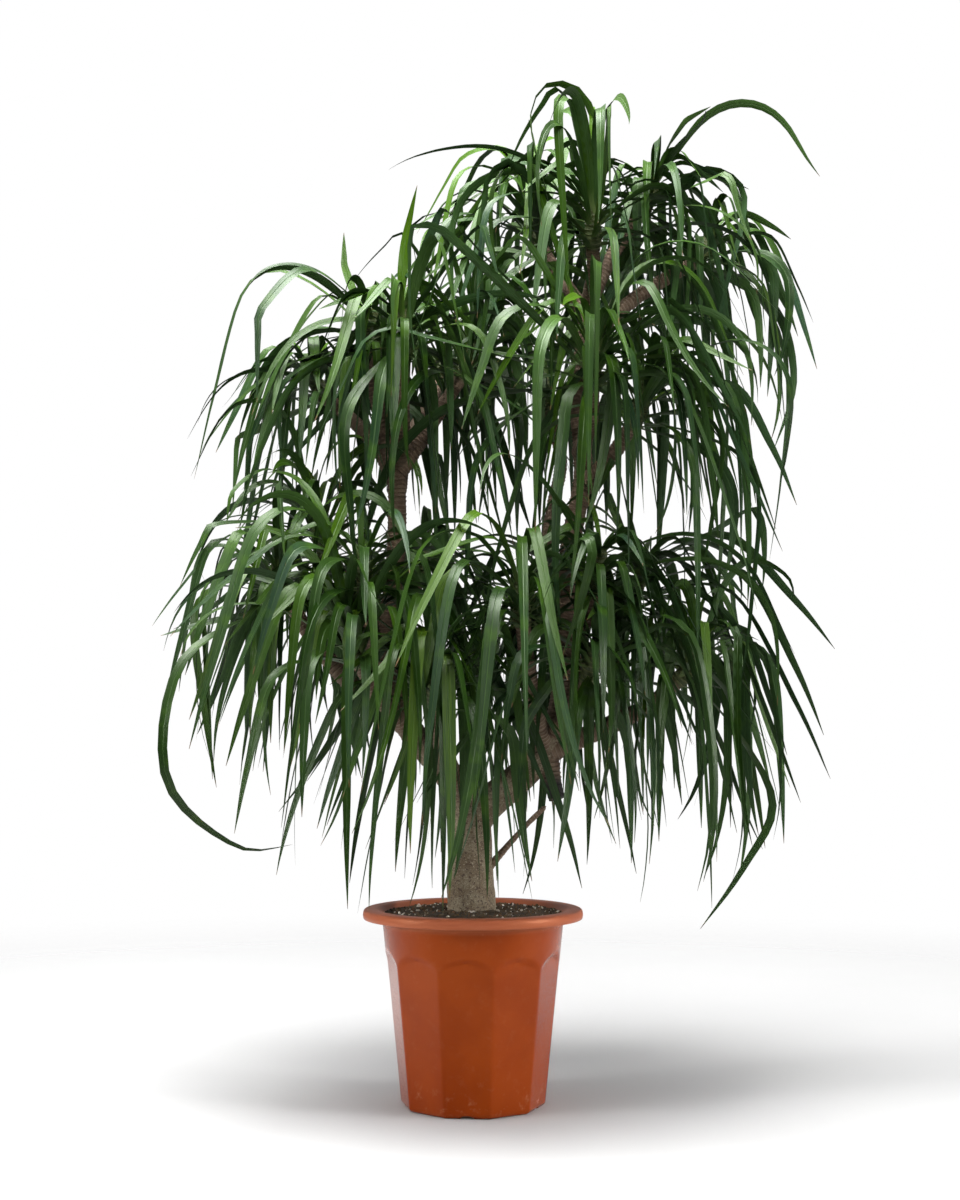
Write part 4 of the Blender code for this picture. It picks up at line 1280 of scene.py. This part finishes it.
# %% [markdown]
# A real crown has more leaves than that. The loose ones follow the way that the plant grows: each
# leaf stands about 137 degrees round the stem from the one before it. The oldest, at the bottom, come
# out level and hang, and the youngest, at the top, still stand up. Tips curl a little in or out, and
# a few leaves have been creased and fold over sharply. A plan holds what one leaf does: its slope
# goes from its rise to its fall between two places along it, while it sways sideways and twists.

# %% Draw the loose leaves
GOLDEN_ANGLE = math.radians(137.5)
LEAF_STEPS = 12
LEAF_WIDTH = 0.0180
# What a loose leaf may do, in degrees; the fall is that of the oldest leaves
RANGES = {
    "azimuth": (-24, 24), "rise": (-18, 18), "fall": (-96, -60), "sway": (-36, 36),
    "curl": (-40, 30), "twist": (10, 75)}
# How much more the youngest leaf rises than the oldest, and how much less it falls
MORE_RISE = 70
LESS_FALL = 50
# Shares of the leaf's length, of its crown's reach and droop, and of the usual width
SHARES = {
    "length": (0.60, 1.15), "bend_from": (0.02, 0.18), "droop": (0.65, 1.5), "crease": (0.25, 0.6),
    "width": (0.68, 1.18)}
SHORTEST_BEND = 0.12
CREASED = 0.16
CREASE_SPAN = 0.10
YOUNG_FROM = 0.7
YOUNG_SHORTER = 0.5
YOUNG_NARROWER = 0.25
TWISTED_BY = 0.6
# Which share of the stem's length carries leaves, and how far out they start, as a share of its radius
ROOTS_FROM = 0.10
ROOTS_SPAN = 0.88
ROOT_OUTWARDS = 0.35

Plan = namedtuple("Plan", "azimuth rise fall bend length sway curl twist width")


def drawn_plan(crown, share, azimuth, chance):
    """What a leaf does; share goes from 0 for the oldest to 1 for the youngest."""

    def angle(name):
        return math.radians(chance.uniform(*RANGES[name]))

    def part(name):
        return chance.uniform(*SHARES[name])

    young = smoothstep((share - YOUNG_FROM) / (1 - YOUNG_FROM))
    azimuth += angle("azimuth")
    rise = math.radians(crown.lift + MORE_RISE * share) + angle("rise")
    fall = math.radians(LESS_FALL * share ** 5) + angle("fall")
    length = crown.reach * (1 - YOUNG_SHORTER * young) * part("length")
    bend_from = part("bend_from")
    bend = (bend_from, max(crown.droop * part("droop"), bend_from + SHORTEST_BEND))
    if chance.random() < CREASED * (1 - share):
        crease = part("crease")
        bend = (crease, crease + CREASE_SPAN)
    sway, curl = angle("sway"), angle("curl")
    twist = chance.choice((-1, 1)) * angle("twist")
    width = LEAF_WIDTH * part("width") * (1 - YOUNG_NARROWER * young)
    return Plan(azimuth, rise, fall, bend, length, sway, curl, twist, width)


def leaf_of_plan(root, plan):
    """The points and side directions of a leaf from its root to its tip."""
    points, sides = [root], []
    for k in range(LEAF_STEPS + 1):
        u = k / LEAF_STEPS
        bent = smoothstep((u - plan.bend[0]) / (plan.bend[1] - plan.bend[0]))
        slope = plan.rise + (plan.fall - plan.rise) * bent + plan.curl * u ** 3
        heading = plan.azimuth + plan.sway * u * u
        level = Vector((math.cos(heading), math.sin(heading), 0))
        ahead = level * math.cos(slope) + Vector((0, 0, math.sin(slope)))
        side = Vector((-level.y, level.x, 0))
        sides.append(Matrix.Rotation(plan.twist * smoothstep(u / TWISTED_BY), 3, ahead) @ side)
        points.append(points[-1] + ahead * plan.length / LEAF_STEPS)
    return Leaf(points[:-1], sides, plan.width)


def root_on_stem(stem, share, azimuth):
    """Where a leaf starts, hidden inside the stem."""
    place = (ROOTS_FROM + ROOTS_SPAN * share) * STEM_STEPS
    k = min(int(place), STEM_STEPS - 1)
    along = (stem[k + 1] - stem[k]).normalized()
    out = Vector((math.cos(azimuth), math.sin(azimuth), 0))
    out = (out - along * out.dot(along)).normalized()
    return stem[k].lerp(stem[k + 1], place - k) + out * ROOT_OUTWARDS * STEM_RADII[k]


def loose_leaves(crown):
    leaves = []
    for k, draw in enumerate(crown.draws):
        share = (k + 0.5) / len(crown.draws)
        plan = drawn_plan(crown, share, k * GOLDEN_ANGLE, random.Random(f"{crown.name} {k} {draw}"))
        leaves.append(leaf_of_plan(root_on_stem(stems[crown.name], share, plan.azimuth), plan))
    return leaves


drawn = {crown.name: loose_leaves(crown) for crown in CROWNS}
print(sum(len(leaves) for leaves in drawn.values()), "loose leaves are drawn")

# %% [markdown]
# A few leaves stand out from the rest: long thin ones that arch over the plant's top or hang past its
# sides. Each was fitted to its own arc in the photograph, so it gets its plan as plain numbers.

# %% Place the long leaves
# Crown, place on its stem, azimuth, rise, fall, length, bend from and to, sway, curl, twist, width
LONG_LEAVES = [
    ("top_a", 0.78, 212, 96, -114, 0.60, 0.10, 0.59, -8, 31, 30, 0.0160),
    ("middle_a", 0.94, 344, 33, -90, 0.42, 0.10, 0.72, -16, -16, 30, 0.0160),
    ("low_left_d", 0.70, 207, 77, -57, 0.42, 0.27, 0.78, -2, -11, 30, 0.0160),
    ("top_b", 0.81, 282, 9, -13, 0.36, 0.14, 0.71, -19, 12, 30, 0.0160),
    ("top_b", 0.67, -11, 56, -75, 0.39, 0.17, 0.83, 0, 24, -58, 0.0160),
    ("top_a", 0.95, 211, 27, -8, 0.39, 0.06, 0.63, 10, -33, 25, 0.0110),
    ("top_d", 0.67, 53, -16, -98, 0.70, 0.16, 0.60, 6, -19, 40, 0.0150),
]


def long_leaf(crown, share, azimuth, rise, fall, length, bend_from, bend_to, sway, curl, twist, width):
    turned = [math.radians(angle) for angle in (azimuth, rise, fall, sway, curl, twist)]
    azimuth, rise, fall, sway, curl, twist = turned
    plan = Plan(azimuth, rise, fall, (bend_from, bend_to), length, sway, curl, twist, width)
    return leaf_of_plan(root_on_stem(stems[crown], share, azimuth), plan)


for row in LONG_LEAVES:
    drawn[row[0]].append(long_leaf(*row))
print(len(LONG_LEAVES), "long leaves are placed")

# %% [markdown]
# The blade tree turns each line into a leaf. It sweeps a thin lens along the curve, always square to
# the leaf's own side direction, and folds it up along both sides of the midrib. It keeps what the
# finish needs: how far along and how far across each point is, and whether it is on the upper side.

# %% The blade tree
BLADE_SIZES = {
    "Stations": 22, "Thickness": 0.035, "Fold": 0.28, "Ripple": 0.0016, "Thinnest": 0.0003}
WIDEST_AT = 0.34
LENS_CORNERS = 4
RIPPLES_TO_A_METRE = 26.0


def half_width(start, along):
    """Half the leaf's width at a share of its length, from the width stored on its points."""
    rising = 0.5 + 0.5 * step_between(along, 0.0, WIDEST_AT)
    falling = (1 - along ** 3).math("MAXIMUM", 0.0) ** 0.9
    return 0.5 * read_back(start, "width") * rising * falling


def cross(first, second):
    return first.node("ShaderNodeVectorMath", {"operation": "CROSS_PRODUCT"}, {0: first, 1: second})


def lens(start, thickness):
    """A closed profile, 2 wide and as thick as given, that knows its own sides."""
    across = part_of(start.node("GeometryNodeInputPosition"), "X")
    outline = stored(polygon(start, LENS_CORNERS), "across", across)
    outline = stored(outline, "upper", across.beside("Y"))
    squash = start.node("ShaderNodeCombineXYZ", None, {"X": 1.0, "Y": thickness, "Z": 1.0})
    return start.node("GeometryNodeTransform", None, {"Geometry": outline, "Scale": squash})


def blade_tree():
    tree, inputs, close = new_tree("blades", BLADE_SIZES)
    start = inputs["Shape"]
    along, half = read_back(start, "along"), read_back(start, "half")
    side = read_back(start, "side", "FLOAT_VECTOR")
    curves = smooth_curves(start, "Count", inputs["Stations"])
    curves = stored(curves, "along", start.node("GeometryNodeSplineParameter", take="Factor"))
    curves = stored(curves, "half", half_width(start, along).math("MAXIMUM", inputs["Thinnest"]))
    up = cross(start.node("GeometryNodeInputTangent"), side)
    curves = stored(curves, "up", up, "FLOAT_VECTOR")
    curves = start.node("GeometryNodeSetCurveNormal", {"mode": "FREE"}, {"Curve": curves, "Normal": side})
    blade = swept(curves, lens(start, inputs["Thickness"]), half)
    fold = inputs["Fold"] * (1.3 - along) * read_back(start, "across") ** 2
    ripple = noise_on_shape(start, RIPPLES_TO_A_METRE, 1.0) - 0.5
    lift = half * fold + ripple * inputs["Ripple"]
    close(shifted(blade, scaled(read_back(start, "up", "FLOAT_VECTOR"), lift)))
    return tree


blades_from_lines = blade_tree()
print("The blade tree has inputs", ", ".join(BLADE_SIZES))

# %% [markdown]
# Mature leaves are a deep green with a satin gloss, and young ones are a lighter, yellower green. Fine
# parallel veins run from end to end beside a paler midrib. The base of a leaf is pale, its outer part
# is painted bluish grey as a painted sheen of the sky, its tip is often dry and brown, and its
# underside is duller. Leaves low on the plant are painted a deeper green, as painted shade, and a few
# leaves carry yellow-green streaks of painted light. Each leaf has a tone of its own.

# %% The leaf's finish
WARM_GREENS = (colour(0.004, 0.017, 0.0003), colour(0.030, 0.070, 0.001))
SHEEN_PAINTED_GREENS = (colour(0.003, 0.013, 0.003), colour(0.017, 0.042, 0.025))
FRESH_GREENS = (colour(0.011, 0.038, 0.0005), colour(0.040, 0.092, 0.001))
PAINTED_SHADE_GREEN = colour(0.004, 0.015, 0.0004)
PAINTED_SUNLIGHT_STREAK = colour(0.110, 0.180, 0.004)
VEIN = colour(0.022, 0.062, 0.003)
PALE_PATCH = colour(0.040, 0.092, 0.002)
MIDRIB = colour(0.070, 0.140, 0.036)
UNDERSIDE = colour(0.040, 0.085, 0.030)
PALE_BASE = colour(0.150, 0.200, 0.070)
SPECK = colour(0.160, 0.190, 0.110)
DRY_TIP = colour(0.120, 0.070, 0.030)
LEAF_GLINT = colour(0.86, 1.0, 0.76)
FULL_LIGHT_FROM = (0.60, 0.95)


def veins_along(along, across, tone):
    """A noise drawn out into fine stripes, with other stripes on each leaf."""
    lane = along.node("ShaderNodeCombineXYZ", None, {
        "X": across * 7 + tone * 90, "Y": along * 4, "Z": tone * 37})
    return cloudy(lane, 1.6)


def plain_green(along, young, tone):
    """The leaf's colour by its age and tone, with a painted bluish sheen on its outer part."""
    # Painted sheen: the outer part of a leaf is painted bluish grey, as the sky's sheen on it.
    painted_sheen = step_between(along, 0.10, 0.60) * (0.15 + 0.85 * (tone * 7).math("FRACT"))
    mature = mixed(painted_sheen, mixed(tone, *WARM_GREENS), mixed(tone, *SHEEN_PAINTED_GREENS))
    return mixed(young, mature, mixed(tone, *FRESH_GREENS))


def leaf_finish():
    finish, start, set_sockets = new_finish("satin_leaf")
    place = object_place(start)
    along, across = painted(start, "along"), painted(start, "across")
    young, tone = painted(start, "young"), painted(start, "tone")
    under = 1 - step_between(painted(start, "upper"), -0.2, 0.2)
    # Painted shade: leaves low on the plant are painted a deeper green, darker towards the bottom.
    low_down = 1 - step_between(part_of(place, "Z"), *FULL_LIGHT_FROM)
    veins = veins_along(along, across, tone)
    # Painted light: a few leaves get yellow-green streaks, as light shining on and through them.
    painted_sunlight = step_between(tone, 0.92, 0.98) * step_between(veins, 0.35, 0.70)
    midrib = 1 - step_between(across.math("ABSOLUTE"), 0.02, 0.16)
    body = layered(
        plain_green(along, young, tone),
        (0.40 * low_down, PAINTED_SHADE_GREEN),
        (0.50 * painted_sunlight, PAINTED_SUNLIGHT_STREAK),
        (0.40 * step_between(veins, 0.45, 0.70), VEIN),
        (0.30 * step_between(cloudy(place, 32), 0.52, 0.70), PALE_PATCH),
        (0.22 * midrib, MIDRIB),
        (0.30 * under, UNDERSIDE),
        (0.70 * step_between(along, 0.10, 0.01), PALE_BASE),
        (0.12 * step_between(cloudy(place, 480, 2, 0.6), 0.70, 0.76), SPECK),
        (step_between(along + 0.03 * tone, 0.985, 1.01), DRY_TIP))
    set_sockets(
        Base_Color=body, Roughness=0.28 + 0.16 * veins + 0.12 * under, Specular_IOR_Level=0.24,
        Specular_Tint=LEAF_GLINT, Normal=bumped(0.6 * veins - 0.8 * midrib, 0.0005))
    return finish


satin_leaf = leaf_finish()
print("The finish", satin_leaf.name, "is ready")

# %% [markdown]
# Each crown becomes one piece. Its leaves are lines of points, those of the solid first and the
# loose ones after them, and each leaf gets a random tone and its youth, which the finish turns into
# greens.

# %% The leaves of every crown
SHARP_IN_LEAVES = 60
STANDS_UP_FROM = 0.70

LeafLine = namedtuple("LeafLine", "points side width young tone")


def youth(leaf):
    """1 for a young leaf that stands upright, and 0 for one that starts out under 45 degrees."""
    ahead = (leaf.points[2] - leaf.points[1]).normalized()
    return smoothstep((ahead.z - STANDS_UP_FROM) / (1 - STANDS_UP_FROM))


def line_of_leaf(leaf, tone):
    """The leaf's points, with what the blade tree and the finish read at each."""
    count = len(leaf.points)
    return LeafLine(leaf.points, leaf.sides, [leaf.width] * count, [youth(leaf)] * count, [tone] * count)


def make_leaves(crown):
    chance = random.Random(f"{crown.name} tones")
    leaves = solid_leaves[crown.name] + drawn[crown.name]
    lines = [line_of_leaf(leaf, chance.random()) for leaf in leaves]
    made = object_of_lines("leaves_" + crown.name, lines)
    run_tree(made, blades_from_lines, satin_leaf)
    shade(made, sharp_above=SHARP_IN_LEAVES)
    dress(made, "leaf_green", "crown_" + crown.name)


for crown in CROWNS:
    make_leaves(crown)
